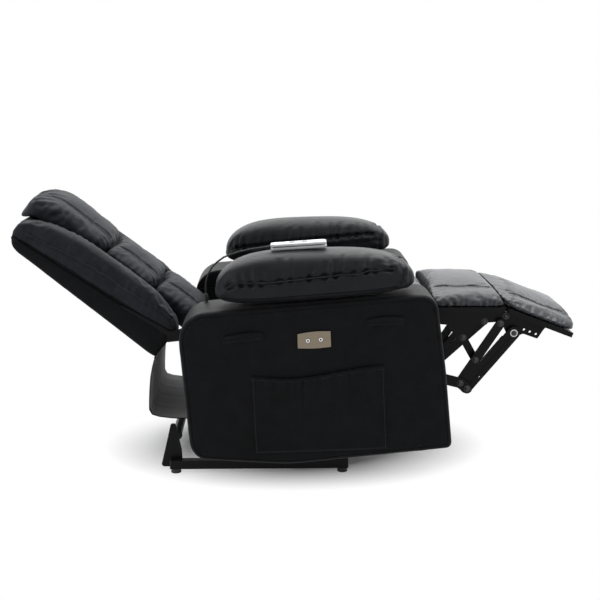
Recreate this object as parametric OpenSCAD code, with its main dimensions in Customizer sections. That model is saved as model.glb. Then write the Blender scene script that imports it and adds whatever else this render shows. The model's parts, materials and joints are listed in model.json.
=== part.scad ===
// Lift recliner chair, fully reclined with the leg rest out.
// Millimetres, +Z up, +X towards the feet, +Y towards the sitter's left.
// Side view coordinates [x, z] are taken from the middle of the armrests;
// the whole chair is then centred over its own outline.

/* [Chair] */
// Overall width over both side panels
total_w = 840; // [780:5:900]
// Clear width between the two side panels
inner_w = 482.6; // [440:0.2:520]
// Gap between two pieces that rest on each other
seat_gap = 0.3; // [0.2:0.05:0.4]

/* [Side panels] */
// Radius of the soft outer edge of a side panel
panel_edge_r = 16; // [8:1:24]
// Depth that the side pocket stands proud of the panel
pocket_depth = 13; // [11:0.5:20]
// Thickness of the pocket's cloth
pocket_wall = 3; // [2:0.5:4]
// Thickness of a grab strap
strap_t = 7; // [4:0.5:10]

/* [Armrests] */
// Length of an arm pad
arm_pad_len = 548; // [500:2:580]
// Width of an arm pad
arm_pad_w = 196; // [170:2:200]
// Height of an arm pad above the panel at its middle
arm_pad_h = 148; // [110:2:160]

/* [Seat] */
// Height of the seat cushion at its crown
seat_crown = 84; // [60:2:100]
// Clearance between a cushion and the panel beside it
side_clear = 9; // [6:0.5:14]

/* [Back] */
// Lean of the reclined back from upright, in degrees
back_lean = 51; // [45:1:55]
// Length of the back from its lower edge to its top
back_len = 528; // [480:2:560]
// Thickness of the padded back shell
shell_t = 96; // [80:2:110]
// Width of one side bolster
bolster_w = 76; // [60:2:90]
// Height of a bolster above the shell
bolster_h = 66; // [50:2:80]
// Height of the head pillow above the shell
head_h = 112; // [90:2:125]
// Height of the middle pillow above the shell
mid_h = 96; // [80:2:120]
// Height of the lumbar pillow above the shell
lumbar_h = 106; // [90:2:120]

/* [Leg rest] */
// Length of the calf board
calf_len = 200; // [180:2:230]
// Length of the foot board
foot_len = 196; // [160:2:210]
// Downward tilt of the foot board, in degrees
foot_tilt = 21; // [14:0.5:24]
// Height of the calf pad
calf_pad_h = 54; // [40:2:70]
// Height of the foot pad
foot_pad_h = 52; // [40:2:70]

/* [Mechanism] */
// Thickness of a flat steel link
link_t = 5; // [3:0.5:5.5]
// Width of the folding links
link_w = 26; // [20:1:30]
// Width of the front channel link
channel_w = 36; // [28:1:40]
// Radius of a link pivot pin
pin_r = 4; // [3:0.25:5]
// Radial running clearance of a pin in its bore
pin_clear = 0.06; // [0.03:0.01:0.1]
// Radius of the lift pivot pins
lift_pin_r = 6; // [5:0.25:7]
// Radius of the round cross tubes
tube_r = 13; // [11:0.5:15]

/* [Controls] */
// Length of the handset
handset_len = 150; // [120:2:170]
// Width of the handset
handset_w = 50; // [42:1:60]
// Thickness of the handset
handset_t = 17; // [14:0.5:22]
// Radius of a push button on the side plate
button_r = 6; // [5:0.25:7]
// Diameter of the handset cord
cord_d = 5; // [4:0.5:6]

/* [Hidden] */

// Colours of the finishes
c_leather = [0.075, 0.08, 0.085];
c_leather_top = [0.2, 0.21, 0.23];
c_steel = [0.05, 0.05, 0.055];
c_plate = [0.62, 0.58, 0.52];
c_white = [0.88, 0.89, 0.9];
c_board = [0.03, 0.03, 0.03];
c_wood = [0.6, 0.48, 0.33];
c_zinc = [0.6, 0.6, 0.62];

// Width positions, from the middle of the chair outwards
panel_in = inner_w / 2;
panel_out = total_w / 2;
plate_out = panel_in - seat_gap;
plate_in = plate_out - link_t;
cushion_half = panel_in - side_clear;
// Each link layer lies one pitch further in
layer_pitch = link_t + 2;
function layer_in(n) = plate_in - n * layer_pitch;
frame_half = 160;
frame_board_t = 20;

// Side view points [x, z] of the pivots
leg_pivot = [340, 428];
swing_pivot = [340, 408];
back_pivot = [-330, 400];
torque_pivot = [170, 270];
lift_pivot = [-50, 100];
stay_pivot = [50, 90];
hanger_pivot = [-300, 130];
stay_top = [-120, 110];
rear_link_low = [420, 246];
rear_link_top = [531, 417];
channel_low = [440, 230];
channel_top = [571, 388];
cross_top = [428, 374];
cross_low = [463, 312];
push_low = [316, 263];
push_top = [488, 420];
foot_hinge = [549, 436];
// Upper corner from which the foot board is drawn
foot_corner = [549, 455];

// Leg rest heights
board_t = 14;
board_half = layer_in(1) - 3;
board_under = 450;
board_top = board_under + board_t;
calf_x = leg_pivot[0] + 5;

// Back reference: the lower rear edge of the shell
back_origin = [-445, 323];

// Overall middle: the foot tip and the top of the reclined back
foot_tip_x = foot_corner[0] + foot_len * cos(foot_tilt) + 15.7;
back_top_x = back_origin[0] - back_len * sin(back_lean) + 13.9;
mid_x = (foot_tip_x + back_top_x) / 2;

// ---------- general helpers ----------

// Draws a side view outline as a plate between two widths
module side_plate(y0, y1) {
    translate([0, y1, 0])
        rotate([90, 0, 0])
            linear_extrude(y1 - y0)
                children();
}

// A round bar across the chair between two widths
module cross_round(p, r, y0, y1) {
    translate([p[0], y1, p[1]])
        rotate([90, 0, 0])
            cylinder(h = y1 - y0, r = r, $fn = 48);
}

// Both sides of the chair
module both_sides() {
    children();
    mirror([0, 1, 0])
        children();
}

// A flat bar outline with round ends between two points
module bar_outline(p, q, w) {
    run = norm(q - p);
    turn = atan2(q[1] - p[1], q[0] - p[0]);
    translate(p)
        rotate(turn) {
            translate([0, -w / 2])
                square([run, w]);
            circle(d = w, $fn = 48);
            translate([run, 0])
                circle(d = w, $fn = 48);
        }
}

// A flat link in one layer, bored for pins at the points in holes
module flat_link(p, q, w, n, holes) {
    difference() {
        side_plate(layer_in(n), layer_in(n) + link_t)
            bar_outline(p, q, w);
        for (h = holes)
            cross_round(h, pin_r + pin_clear, layer_in(n) - 1, layer_in(n) + link_t + 1);
    }
}

// A pin with a flat head on its inner end
module pin(p, y0, y1, r) {
    cross_round(p, r, y0, y1);
    cross_round(p, r * 1.9, y0 - 2, y0);
}

// Rounds the corners of an outline given as [x, z, radius]
function unit(v) = v / norm(v);
function corner_arc(a, b, c, r, steps) =
    let (u = unit([a[0] - b[0], a[1] - b[1]]), v = unit([c[0] - b[0], c[1] - b[1]]),
        half = acos(max(-0.9999, min(0.9999, u * v))) / 2,
        reach = r / tan(half), mid = unit(u + v),
        centre = [b[0], b[1]] + mid * (r / sin(half)),
        start = [b[0], b[1]] + u * reach - centre,
        turn = (u[0] * v[1] - u[1] * v[0]) > 0 ? -1 : 1,
        sweep = 180 - 2 * half)
    [for (i = [0:steps]) let (g = turn * sweep * i / steps)
        centre + [start[0] * cos(g) - start[1] * sin(g), start[0] * sin(g) + start[1] * cos(g)]];
function rounded(pts, steps) =
    [for (i = [0:len(pts) - 1])
        let (n = len(pts), a = pts[(i + n - 1) % n], b = pts[i], c = pts[(i + 1) % n])
        each (b[2] > 0 ? corner_arc(a, b, c, b[2], steps) : [[b[0], b[1]]])];

// Skins a row of rings of equal count, closed at both ends
module loft(rings) {
    m = len(rings);
    n = len(rings[0]);
    function centre(r) = [for (k = [0:2]) [for (p = r) p[k]] * [for (p = r) 1] / len(r)];
    points = concat([for (r = rings) each r], [centre(rings[0]), centre(rings[m - 1])]);
    polyhedron(points, concat(
        [for (j = [0:m - 2], i = [0:n - 1]) [j * n + i, (j + 1) * n + i, j * n + (i + 1) % n]],
        [for (j = [0:m - 2], i = [0:n - 1])
            [j * n + (i + 1) % n, (j + 1) * n + i, (j + 1) * n + (i + 1) % n]],
        [for (i = [0:n - 1]) [m * n, i, (i + 1) % n]],
        [for (i = [0:n - 1]) [m * n + 1, (m - 1) * n + (i + 1) % n, (m - 1) * n + i]]), 4);
}

// Superellipse power that keeps the sign
function keep_pow(v, e) = sign(v) * pow(abs(v), e);

// One ring of a cushion in the plane across its length:
// half width, floor height, crown height, roundness of the top
function cushion_ring(x, w, lo, hi, n, top_e, side_e) =
    [for (i = [0:n - 1]) let (g = 360 * i / n, c = cos(g), s = sin(g))
        [x, w * keep_pow(c, side_e),
            s >= 0 ? lo + (hi - lo) * (0.28 + 0.72 * keep_pow(s, top_e))
                : lo + (hi - lo) * 0.28 * (1 - keep_pow(-s, 0.3))]];

// A crowned pad from x0 to x1 with drawn-in ends
module crowned_pad(x0, x1, half_w, lo, hi, end_drop = 0.45, n = 28, m = 14, top_e = 0.62, side_e = 0.38) {
    loft([for (j = [0:m])
        let (t = -1 + 2 * j / m, edge = sqrt(max(0, 1 - pow(abs(t), 7))),
            x = (x0 + x1) / 2 + (x1 - x0) / 2 * t,
            top = lo + (hi - lo) * (end_drop + (1 - end_drop) * pow(max(0, 1 - pow(abs(t), 3.2)), 0.7)),
            w = half_w * (0.975 + 0.025 * edge) - (1 - edge) * 4)
        cushion_ring(x, w, lo, top, n, top_e, side_e)]);
}

// ---------- base frame ----------

rail_y = 258;
rail_w = 24;
rail_z0 = 12;
rail_h = 25;
rail_rear = -402;
rail_front = 98;
rear_tube = [-385, 104];

module base_rail(side) {
    color(c_steel)
        difference() {
            translate([rail_rear, side > 0 ? rail_y : -rail_y - rail_w, rail_z0])
                cube([rail_front - rail_rear, rail_w, rail_h]);
            translate([rail_rear - 1, (side > 0 ? rail_y : -rail_y - rail_w) + 3, rail_z0 + 3])
                cube([rail_front - rail_rear + 2, rail_w - 6, rail_h - 6]);
        }
}

module base_right_rail() {
    base_rail(-1);
}

module base_left_rail() {
    base_rail(1);
}

module base_cross_tubes() {
    color(c_steel)
        for (x = [lift_pivot[0], stay_pivot[0]])
            translate([x - rail_h / 2, -rail_y, rail_z0])
                cube([rail_h, 2 * rail_y, rail_h]);
}

module base_rear_tube() {
    color(c_steel)
        cross_round(rear_tube, tube_r, -rail_y, rail_y);
}

// Tapered plates that carry the rear tube above the rails
module base_rear_brackets() {
    color(c_steel)
        both_sides()
            difference() {
                side_plate(rail_y - 6, rail_y)
                    polygon(rounded([[-432, rail_z0, 8], [-370, rail_z0, 8], [-372, 60, 20],
                        [-388, 138, 6], [-402, 138, 6], [-420, 60, 30]], 5));
                cross_round(rear_tube, tube_r, rail_y - 7, rail_y + 1);
            }
}

// Width layers of the lift linkage, from the seat frame outwards
stay_y0 = frame_half - 10;
stay_y1 = frame_half - 2;
hanger_y0 = frame_half;
hanger_y1 = frame_half + 8;
lift_y0 = frame_half + 10;
lift_y1 = frame_half + 18;

// Plates on the cross tubes that hold the lift pins
module pivot_bracket(p, y0) {
    difference() {
        side_plate(y0, y0 + 8)
            union() {
                circle_at(p, 17);
                translate([p[0] - 17, rail_z0 + rail_h])
                    square([34, p[1] - rail_z0 - rail_h]);
            }
        cross_round(p, lift_pin_r, y0 - 1, y0 + 9);
    }
}

module lift_pivot_brackets() {
    color(c_steel)
        both_sides() {
            pivot_bracket(lift_pivot, lift_y1 + 2);
            pivot_bracket(stay_pivot, hanger_y0);
            difference() {
                side_plate(13, 19)
                    union() {
                        bar_outline(motor_base, [stay_pivot[0], 50], 22);
                        translate([stay_pivot[0] - 12.5, rail_z0 + rail_h])
                            square([25, 8]);
                    }
                cross_round(motor_base, lift_pin_r, 12, 20);
            }
        }
}

module circle_at(p, r) {
    translate(p)
        circle(r = r, $fn = 48);
}

foot_r = 14;
module base_feet() {
    color([0.02, 0.02, 0.02])
        both_sides()
            for (x = [rail_front - foot_r, rail_rear + foot_r])
                translate([x, rail_y + rail_w / 2, 0])
                    cylinder(h = rail_z0, r = foot_r, $fn = 48);
}

module lift_pivot_pins() {
    color(c_zinc)
        both_sides() {
            cross_round(lift_pivot, lift_pin_r, lift_y0 - 2, lift_y1 + 10);
            cross_round(stay_pivot, lift_pin_r, stay_y0 - 2, hanger_y1);
        }
    color(c_zinc)
        cross_round(motor_base, lift_pin_r, -19, 19);
}

// ---------- lift linkage ----------

module lift_bar(p, q, w) {
    difference() {
        side_plate(lift_y0, lift_y1)
            bar_outline(p, q, w);
        cross_round(p, lift_pin_r + pin_clear, lift_y0 - 1, lift_y1 + 1);
        cross_round(q, lift_pin_r + pin_clear, lift_y0 - 1, lift_y1 + 1);
    }
}

lift_bar_w = 38;
module lift_arm_left() {
    color(c_steel)
        lift_bar(lift_pivot, hanger_pivot, lift_bar_w);
}

module lift_arm_right() {
    mirror([0, 1, 0])
        lift_arm_left();
}

cross_tube_at = (lift_pivot + hanger_pivot) / 2;
module lift_cross_tube() {
    color(c_steel) {
        cross_round(cross_tube_at, tube_r, -lift_y0, lift_y0);
        rod_lugs(cross_tube_at, motor_end);
    }
}

// A pair of lugs on a tube, either side of a rod's eye
module rod_lugs(from, to) {
    both_sides()
        side_plate(11, 17)
            bar_outline(from, to, 22);
}

// The stays steady the tilt; their top ends lie beside the hangers
module lift_stays() {
    color(c_steel)
        both_sides()
            difference() {
                side_plate(stay_y0, stay_y1)
                    bar_outline(stay_pivot, stay_top, 24);
                cross_round(stay_pivot, lift_pin_r + pin_clear, stay_y0 - 1, stay_y1 + 1);
            }
}

// ---------- powered actuators ----------

motor_base = [10, 84];
motor_end = [-124, 150];
motor_tube_r = 12.5;
rod_r = 8;
module actuator_tube(p, q, y, r) {
    run = norm(q - p);
    turn = atan2(q[1] - p[1], q[0] - p[0]);
    translate([p[0], y, p[1]])
        rotate([0, -turn, 0])
            rotate([0, 90, 0])
                cylinder(h = run, r = r, $fn = 48);
}

module lift_motor() {
    along = unit(motor_end - motor_base);
    color(c_steel)
        difference() {
            union() {
                cross_round(motor_base, 15, -12, 12);
                actuator_tube(motor_base + along * 5, motor_base + along * 85, 0, motor_tube_r);
                translate([motor_base[0] - 24, -36, motor_base[1] + 12])
                    cube([52, 72, 34]);
            }
            cross_round(motor_base, lift_pin_r + pin_clear, -13, 13);
            actuator_tube(motor_base + along * 22, motor_base + along * 100, 0, rod_r + pin_clear);
        }
}

module lift_motor_rod() {
    along = unit(motor_end - motor_base);
    color(c_zinc) {
        actuator_tube(motor_base + along * 64, motor_end - along * 4, 0, rod_r);
        cross_round(motor_end, 11, -9, 9);
    }
}

// ---------- seat unit structure ----------

bar_z = 437;
bar_h = 6;
plate_band = 44;
module mechanism_plate_left() {
    color(c_steel)
        difference() {
            side_plate(plate_in, plate_out)
                polygon(rounded([[-356, bar_z - plate_band - 12, 14], [-180, bar_z - plate_band - 12, 30],
                    [-120, bar_z - plate_band, 30], [300, bar_z - plate_band, 20],
                    [322, 384, 12], [356, 384, 14], [356, 443, 12], [320, 443, 8],
                    [300, bar_z, 12], [-290, bar_z, 20], [-356, bar_z - 4, 20]], 5));
            for (p = [leg_pivot, swing_pivot, back_pivot])
                cross_round(p, pin_r + pin_clear, plate_in - 1, plate_out + 1);
        }
}

module mechanism_plate_right() {
    mirror([0, 1, 0])
        mechanism_plate_left();
}

module cross_bar(x) {
    color(c_steel)
        translate([x - 20, -plate_out, bar_z])
            cube([40, 2 * plate_out, bar_h]);
}

module front_cross_bar() {
    cross_bar(235);
}

module rear_cross_bar() {
    cross_bar(-205);
}

frame_z0 = 372;
frame_x0 = -226;
frame_x1 = 296;
frame_top = bar_z - seat_gap;
module seat_frame() {
    color(c_wood)
        difference() {
            translate([frame_x0, -frame_half, frame_z0])
                cube([frame_x1 - frame_x0, 2 * frame_half, frame_top - frame_z0]);
            translate([frame_x0 + frame_board_t, -frame_half + frame_board_t, frame_z0 - 1])
                cube([frame_x1 - frame_x0 - 2 * frame_board_t, 2 * (frame_half - frame_board_t),
                    frame_top - frame_z0 + 2]);
        }
}

// Sinuous wires between the front and rear boards
spring_count = 5;
spring_turns = 14;
spring_swing = 14;
spring_wire = 4;
module seat_springs() {
    run = frame_x1 - frame_x0 - 2 * frame_board_t;
    side = [for (i = [0:spring_turns]) [run * i / spring_turns,
        i == 0 || i == spring_turns ? 0 : (i % 2 == 0 ? spring_swing : -spring_swing)]];
    color(c_zinc)
        for (k = [0:spring_count - 1])
            translate([frame_x0 + frame_board_t, (k - (spring_count - 1) / 2) * 50, 416])
                linear_extrude(spring_wire)
                    polygon(concat([for (p = side) p + [0, spring_wire]],
                        [for (i = [spring_turns:-1:0]) side[i] - [0, spring_wire]]));
}

rail_under = 146;
module rear_bottom_rail() {
    color(c_wood)
        translate([-346, -panel_in + seat_gap, rail_under])
            cube([20, 2 * (panel_in - seat_gap), 50]);
}

// Plates on the seat frame that reach down to the lift pins
module lift_hangers() {
    color(c_steel)
        both_sides() {
            difference() {
                side_plate(hanger_y0, hanger_y1)
                    union() {
                        polygon(rounded([[-320, 110, 16], [-280, 110, 16], [-200, 260, 30],
                            [-186, frame_top, 0], [-226, frame_top, 0], [-320, 160, 30]], 5));
                        polygon(rounded([[stay_top[0] - 16, 94, 14], [stay_top[0] + 16, 94, 14],
                            [stay_top[0] + 16, frame_top, 0], [stay_top[0] - 16, frame_top, 0]], 5));
                        translate([-200, frame_top - 46])
                            square([stay_top[0] + 200, 46]);
                    }
                cross_round(hanger_pivot, lift_pin_r, hanger_y0 - 1, hanger_y1 + 1);
            }
            cross_round(hanger_pivot, lift_pin_r, hanger_y0 - 2, lift_y1 + 3);
        }
}

// Plates under the seat frame for the torque tube and the recline motor
module motion_hangers() {
    under = frame_z0 - seat_gap;
    color(c_steel)
        both_sides() {
            difference() {
                side_plate(frame_half - 16, frame_half - 8)
                    union() {
                        circle_at(torque_pivot, tube_r + 10);
                        translate([torque_pivot[0] - 20, torque_pivot[1]])
                            square([40, under - torque_pivot[1]]);
                    }
                cross_round(torque_pivot, tube_r + pin_clear, frame_half - 17, frame_half - 7);
            }
            difference() {
                side_plate(13, 19)
                    polygon(rounded([[-176, 184, 14], [-144, 184, 14], [-150, 232, 30],
                        [frame_x0 + frame_board_t - 1, 330, 20], [frame_x0 + frame_board_t - 1, under, 0],
                        [frame_x0, under, 0], [frame_x0, 324, 20]], 5));
                cross_round(recline_base, lift_pin_r, 12, 20);
            }
        }
    color(c_zinc)
        cross_round(recline_base, lift_pin_r, -20, 20);
}

// ---------- seat cushion ----------

seat_floor = bar_z + bar_h + seat_gap;
seat_rear = -232;
seat_front = leg_pivot[0] - 3;
module seat_cushion() {
    color(c_leather_top)
        crowned_pad(seat_rear, seat_front, cushion_half, seat_floor, seat_floor + seat_crown);
}

// ---------- rear skirt ----------

skirt_t = 3;
skirt_half = 226;
module skirt_line() {
    low = rail_under - seat_gap;
    polygon(rounded([[-447, 321, 0], [-460, 268, 60], [-466, 154, 42], [-400, low - skirt_t + 1, 60],
        [-330, low - skirt_t, 0], [-330, low, 0], [-400, low + 1, 57], [-466 + skirt_t, 154 + skirt_t, 39],
        [-460 + skirt_t, 268, 60], [-447 + skirt_t, 321, 0]], 6));
}

module rear_skirt() {
    color(c_leather)
        side_plate(-skirt_half, skirt_half)
            skirt_line();
}

// ---------- side panels ----------

panel_outline = rounded([[-368, 486, 78], [-334, 86, 52], [-70, 70, 500], [374, 114, 10],
    [352, 330, 300], [322, 538, 44], [250, 536, 60]], 8);
// Moves an outline inwards along its own normals
function inset(pts, d) =
    [for (i = [0:len(pts) - 1])
        let (n = len(pts), a = pts[(i + n - 1) % n], b = pts[(i + 1) % n], t = unit(b - a))
        pts[i] + d * [-t[1], t[0]]];
function panel_ring(y, d) = [for (p = inset(panel_outline, d)) [p[0], y, p[1]]];
module side_panel_left() {
    r = panel_edge_r;
    color(c_leather)
        loft([panel_ring(panel_out, r), panel_ring(panel_out - r * 0.13, r * 0.5),
            panel_ring(panel_out - r * 0.5, r * 0.13), panel_ring(panel_out - r, 0),
            panel_ring(panel_in + 6, 0), panel_ring(panel_in, 6)]);
}

module side_panel_right() {
    mirror([0, 1, 0])
        side_panel_left();
}

// ---------- arm pads ----------

pad_y = (panel_in + panel_out) / 2 + 6;
pad_rear = -272;
// The panel's sloping top edge
function panel_top(x) = 486 + (x + 368) * 50 / 618;
module arm_pad_left() {
    n = 30;
    m = 16;
    color(c_leather_top)
        loft([for (j = [0:m])
            let (t = -1 + 2 * j / m, x = pad_rear + arm_pad_len * (t + 1) / 2,
                lo = panel_top(x) + seat_gap,
                end = pow(max(0, 1 - pow(abs(t), 5)), 0.5),
                hi = 504 + arm_pad_h * (0.55 + 0.45 * pow(max(0, 1 - pow(abs(t), 4)), 0.6))
                    + 14 * t * (1 - abs(t) * 0.5),
                w = arm_pad_w / 2 * (0.86 + 0.14 * end))
            [for (i = [0:n - 1]) let (g = 360 * i / n, c = cos(g), s = sin(g))
                [x, pad_y + w * keep_pow(c, 0.6) * (s < 0 ? 1 - 0.12 * pow(-s, 2) : 1),
                    s >= 0 ? lo + (hi - lo) * (0.42 + 0.58 * keep_pow(s, 0.8))
                        : lo + (hi - lo) * 0.42 * (1 - keep_pow(-s, 0.42))]]]);
}

module arm_pad_right() {
    mirror([0, 1, 0])
        arm_pad_left();
}

// ---------- fittings on the right panel ----------

pocket_pts = [[-170, 322, 4], [-160, 106, 26], [196, 116, 26], [184, 350, 4], [93, 328, 60], [-60, 314, 90]];
module side_pocket() {
    color(c_leather)
        difference() {
            side_plate(-panel_out - seat_gap - pocket_depth, -panel_out - seat_gap)
                polygon(rounded(pocket_pts, 5));
            side_plate(-panel_out - seat_gap - pocket_depth + pocket_wall, -panel_out - pocket_wall)
                polygon([[-164, 420], [-154, 118], [188, 128], [178, 420]]);
        }
}

module strap(x0, z0, x1, z1) {
    side_plate(-panel_out - seat_gap - strap_t, -panel_out - seat_gap)
        polygon(rounded([[x0, z0 - 6, 5], [(x0 + x1) / 2, (z0 + z1) / 2 - 1, 120], [x1, z1 - 12, 5],
            [x1, z1 + 12, 5], [(x0 + x1) / 2, (z0 + z1) / 2 + 23, 120], [x0, z0 + 14, 5]], 4));
}

module grab_straps() {
    color(c_leather) {
        strap(-243, 412, -136, 428);
        strap(134, 458, 236, 467);
    }
}

plate_t = 5;
plate_mid = [-2, 419];
button_pitch = 34;
button_travel = 1.5;
button_proud = 2;
module button_place(k) {
    translate([plate_mid[0] + k * button_pitch / 2, -panel_out - seat_gap, plate_mid[1] + k * 1.5])
        rotate([90, 0, 0])
            children();
}

module button_plate() {
    color(c_plate)
        difference() {
            side_plate(-panel_out - seat_gap - plate_t, -panel_out - seat_gap)
                polygon(rounded([[-46, 396, 2], [0, 395, 300], [43, 400, 2], [41, 443, 2],
                    [-4, 444, 300], [-47, 435, 2]], 4));
            for (k = [-1, 1])
                button_place(k)
                    translate([0, 0, -1])
                        cylinder(h = plate_t + 2, r = button_r + 0.4, $fn = 40);
        }
}

module push_button(k) {
    color(c_zinc)
        button_place(k)
            translate([0, 0, button_travel + 0.3])
                cylinder(h = plate_t + button_proud - button_travel - 0.3, r = button_r, $fn = 40);
}

module button_recline() {
    push_button(-1);
}

module button_return() {
    push_button(1);
}

// ---------- handset and its cord ----------

handset_mid = [-41, -334];
handset_z = 651.2;
handset_tilt = 3.7;
module handset_place() {
    translate([handset_mid[0], handset_mid[1], handset_z])
        rotate([0, -handset_tilt, 0])
            children();
}

key_r = 9;
key_depth = 3;
key_travel = 1;
module handset() {
    color(c_white)
        handset_place()
            difference() {
                linear_extrude(handset_t)
                    polygon(rounded([[-handset_len / 2, -handset_w / 2 + 5, 10], [handset_len / 2, -handset_w / 2, 16],
                        [handset_len / 2, handset_w / 2, 16], [-handset_len / 2, handset_w / 2 - 5, 10]], 6));
                for (k = [-1, 1])
                    translate([k * 16, 0, handset_t - key_depth])
                        cylinder(h = key_depth + 1, r = key_r + 0.4, $fn = 40);
            }
}

module handset_key(k) {
    color(c_plate)
        handset_place()
            translate([k * 16, 0, handset_t - key_depth + key_travel + 0.3])
                cylinder(h = key_depth, r = key_r, $fn = 40);
}

module handset_key_up() {
    handset_key(1);
}

module handset_key_down() {
    handset_key(-1);
}

// Route of the free cord from the handset to the gland
cord_route = [[-116.7, -334, 654.8], [-132, -334, 653.4], [-152, -332, 650.6], [-174, -328, 646.6],
    [-198, -321, 640.4], [-222, -313, 632], [-244, -304, 622], [-262, -296, 608], [-276, -289, 593],
    [-286, -283, 576], [-292, -278, 560], [-295, -273, 545], [-296, -269, 532], [-296.4, -266, 523],
    [-296, -264, 515]];
cord_sides = 8;
function cross3(a, b) = [a[1] * b[2] - a[2] * b[1], a[2] * b[0] - a[0] * b[2], a[0] * b[1] - a[1] * b[0]];
function tube_rings(pts, r) =
    [for (i = [0:len(pts) - 1])
        let (d = unit(pts[min(i + 1, len(pts) - 1)] - pts[max(i - 1, 0)]),
            side = unit(cross3(d, [0, 1, 0])), up = cross3(side, d))
        [for (k = [0:cord_sides - 1]) let (g = -360 * k / cord_sides)
            pts[i] + r * (side * cos(g) + up * sin(g))]];
module handset_cord() {
    color(c_board)
        loft(tube_rings(cord_route, cord_d / 2));
}

gland_h = 22;
module cord_gland() {
    color(c_board)
        translate([cord_route[14][0], cord_route[14][1], cord_route[14][2] - gland_h - seat_gap])
            cylinder(h = gland_h, r1 = 7, r2 = 4.5, $fn = 32);
}

// ---------- back ----------

// Places pieces drawn in back axes: +X out of the back, +Z up along it
module back_place() {
    translate([back_origin[0], 0, back_origin[1]])
        rotate([0, -back_lean, 0])
            children();
}

shell_half = layer_in(1) - seat_gap;
module back_shell() {
    color(c_leather)
        back_place()
            loft([for (j = [0:10])
                let (t = j / 10, z = back_len * (0.003 + 0.997 * t),
                    end = pow(max(0, 1 - pow(t, 12)), 0.5),
                    w = shell_half * (0.93 + 0.07 * end), lo = 22 * (1 - end), hi = shell_t - 20 * (1 - end))
                [for (i = [0:23]) let (g = 360 * i / 24, c = cos(g), s = sin(g))
                    [(lo + hi) / 2 + (hi - lo) / 2 * keep_pow(s, 0.22), -w * keep_pow(c, 0.22), z]]]);
}

bolster_out = panel_in - 5.3;
// The shell's face is this much lower under a bolster than at its middle
bolster_sink = 0.85;
module bolster_left() {
    color(c_leather_top)
        back_place()
            translate([shell_t - bolster_sink + seat_gap, bolster_out - bolster_w / 2, 0])
                upright_pad(18, back_len + 6, bolster_w / 2, bolster_h, 16);
}

// A crowned pad that runs up the back
module upright_pad(z0, z1, half_w, h, m, end = 0.35) {
    n = 24;
    loft([for (j = [0:m])
        let (t = -1 + 2 * j / m, z = (z0 + z1) / 2 + (z1 - z0) / 2 * t,
            fall = pow(max(0, 1 - pow(abs(t), 4)), 0.6), top = h * (end + (1 - end) * fall),
            w = half_w * (0.9 + 0.1 * fall))
        [for (i = [0:n - 1]) let (g = 360 * i / n, c = cos(g), s = sin(g))
            [s >= 0 ? top * (0.3 + 0.7 * keep_pow(s, 0.75)) : top * 0.3 * (1 - keep_pow(-s, 0.35)),
                -w * keep_pow(c, 0.5), z]]]);
}

module bolster_right() {
    mirror([0, 1, 0])
        bolster_left();
}

pillow_half = bolster_out - bolster_w - 1;
module back_pillow(z0, z1, h, end) {
    color(c_leather_top)
        back_place()
            translate([shell_t + seat_gap, 0, 0])
                upright_pad(z0, z1, pillow_half, h, 14, end);
}

module head_pillow() {
    back_pillow(282, back_len + 18, head_h, 0.6);
}

module middle_pillow() {
    back_pillow(142, 281, mid_h, 0.75);
}

module lumbar_pillow() {
    back_pillow(-22, 141, lumbar_h, 0.7);
}

// Steel plates that carry the back on its pivot pins
module back_brackets() {
        both_sides() {
            color(c_steel)
                back_place()
                    side_plate(layer_in(1), layer_in(1) + link_t)
                        polygon(rounded([[148, -56, 14], [118, -58, 14], [60, 0, 20], [30, 60, 20], [30, 170, 12],
                            [62, 170, 12], [82, 60, 30], [88, 12, 20], [148, -28, 14]], 5));
            color(c_zinc)
                pin(back_pivot, layer_in(1) + 1, plate_out - 1, pin_r);
        }
}

// ---------- leg rest ----------

module calf_board() {
    color(c_board)
        translate([calf_x + 8, -board_half, board_under])
            cube([calf_len - 8, 2 * board_half, board_t]);
}

module calf_pad() {
    color(c_leather_top)
        crowned_pad(calf_x, calf_x + calf_len + 2, cushion_half, board_top + seat_gap,
            board_top + seat_gap + calf_pad_h, 0.55);
}

// Side plates under the calf board with the leg rest pivot
module calf_brackets() {
    color(c_steel)
        both_sides() {
            difference() {
                side_plate(layer_in(4), layer_in(4) + link_t)
                    union() {
                        polygon(rounded([[leg_pivot[0] - 12, leg_pivot[1] - 12, 8], [362, 413, 8], [386, 411, 12],
                            [413, 361, 12], [444, 361, 12], [446, 386, 8], [467, 415, 14], [538, 420, 10],
                            [542, board_under - seat_gap, 0], [calf_x + 8, board_under - seat_gap, 0],
                            [calf_x + 7, leg_pivot[1] + 11, 4], [leg_pivot[0] - 12, leg_pivot[1] + 11, 8]], 4));
                        bar_outline(foot_hinge - [24, 0], foot_hinge, 16);
                    }
                for (p = [leg_pivot, cross_top, foot_hinge])
                    cross_round(p, pin_r + pin_clear, layer_in(4) - 1, layer_in(4) + link_t + 1);
            }
            pin(leg_pivot, layer_in(4), plate_out - 1, pin_r);
        }
}

module foot_place() {
    translate([foot_corner[0], 0, foot_corner[1]])
        rotate([0, foot_tilt, 0])
            children();
}

module foot_board() {
    color(c_board)
        foot_place()
            translate([4, -cushion_half, -board_t / 2])
                cube([foot_len, 2 * cushion_half, board_t]);
}

module foot_pad() {
    color(c_leather_top)
        foot_place()
            translate([0, 0, board_t / 2 + seat_gap])
                crowned_pad(20, foot_len + 8, cushion_half, 0, foot_pad_h, 0.3);
}

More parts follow.
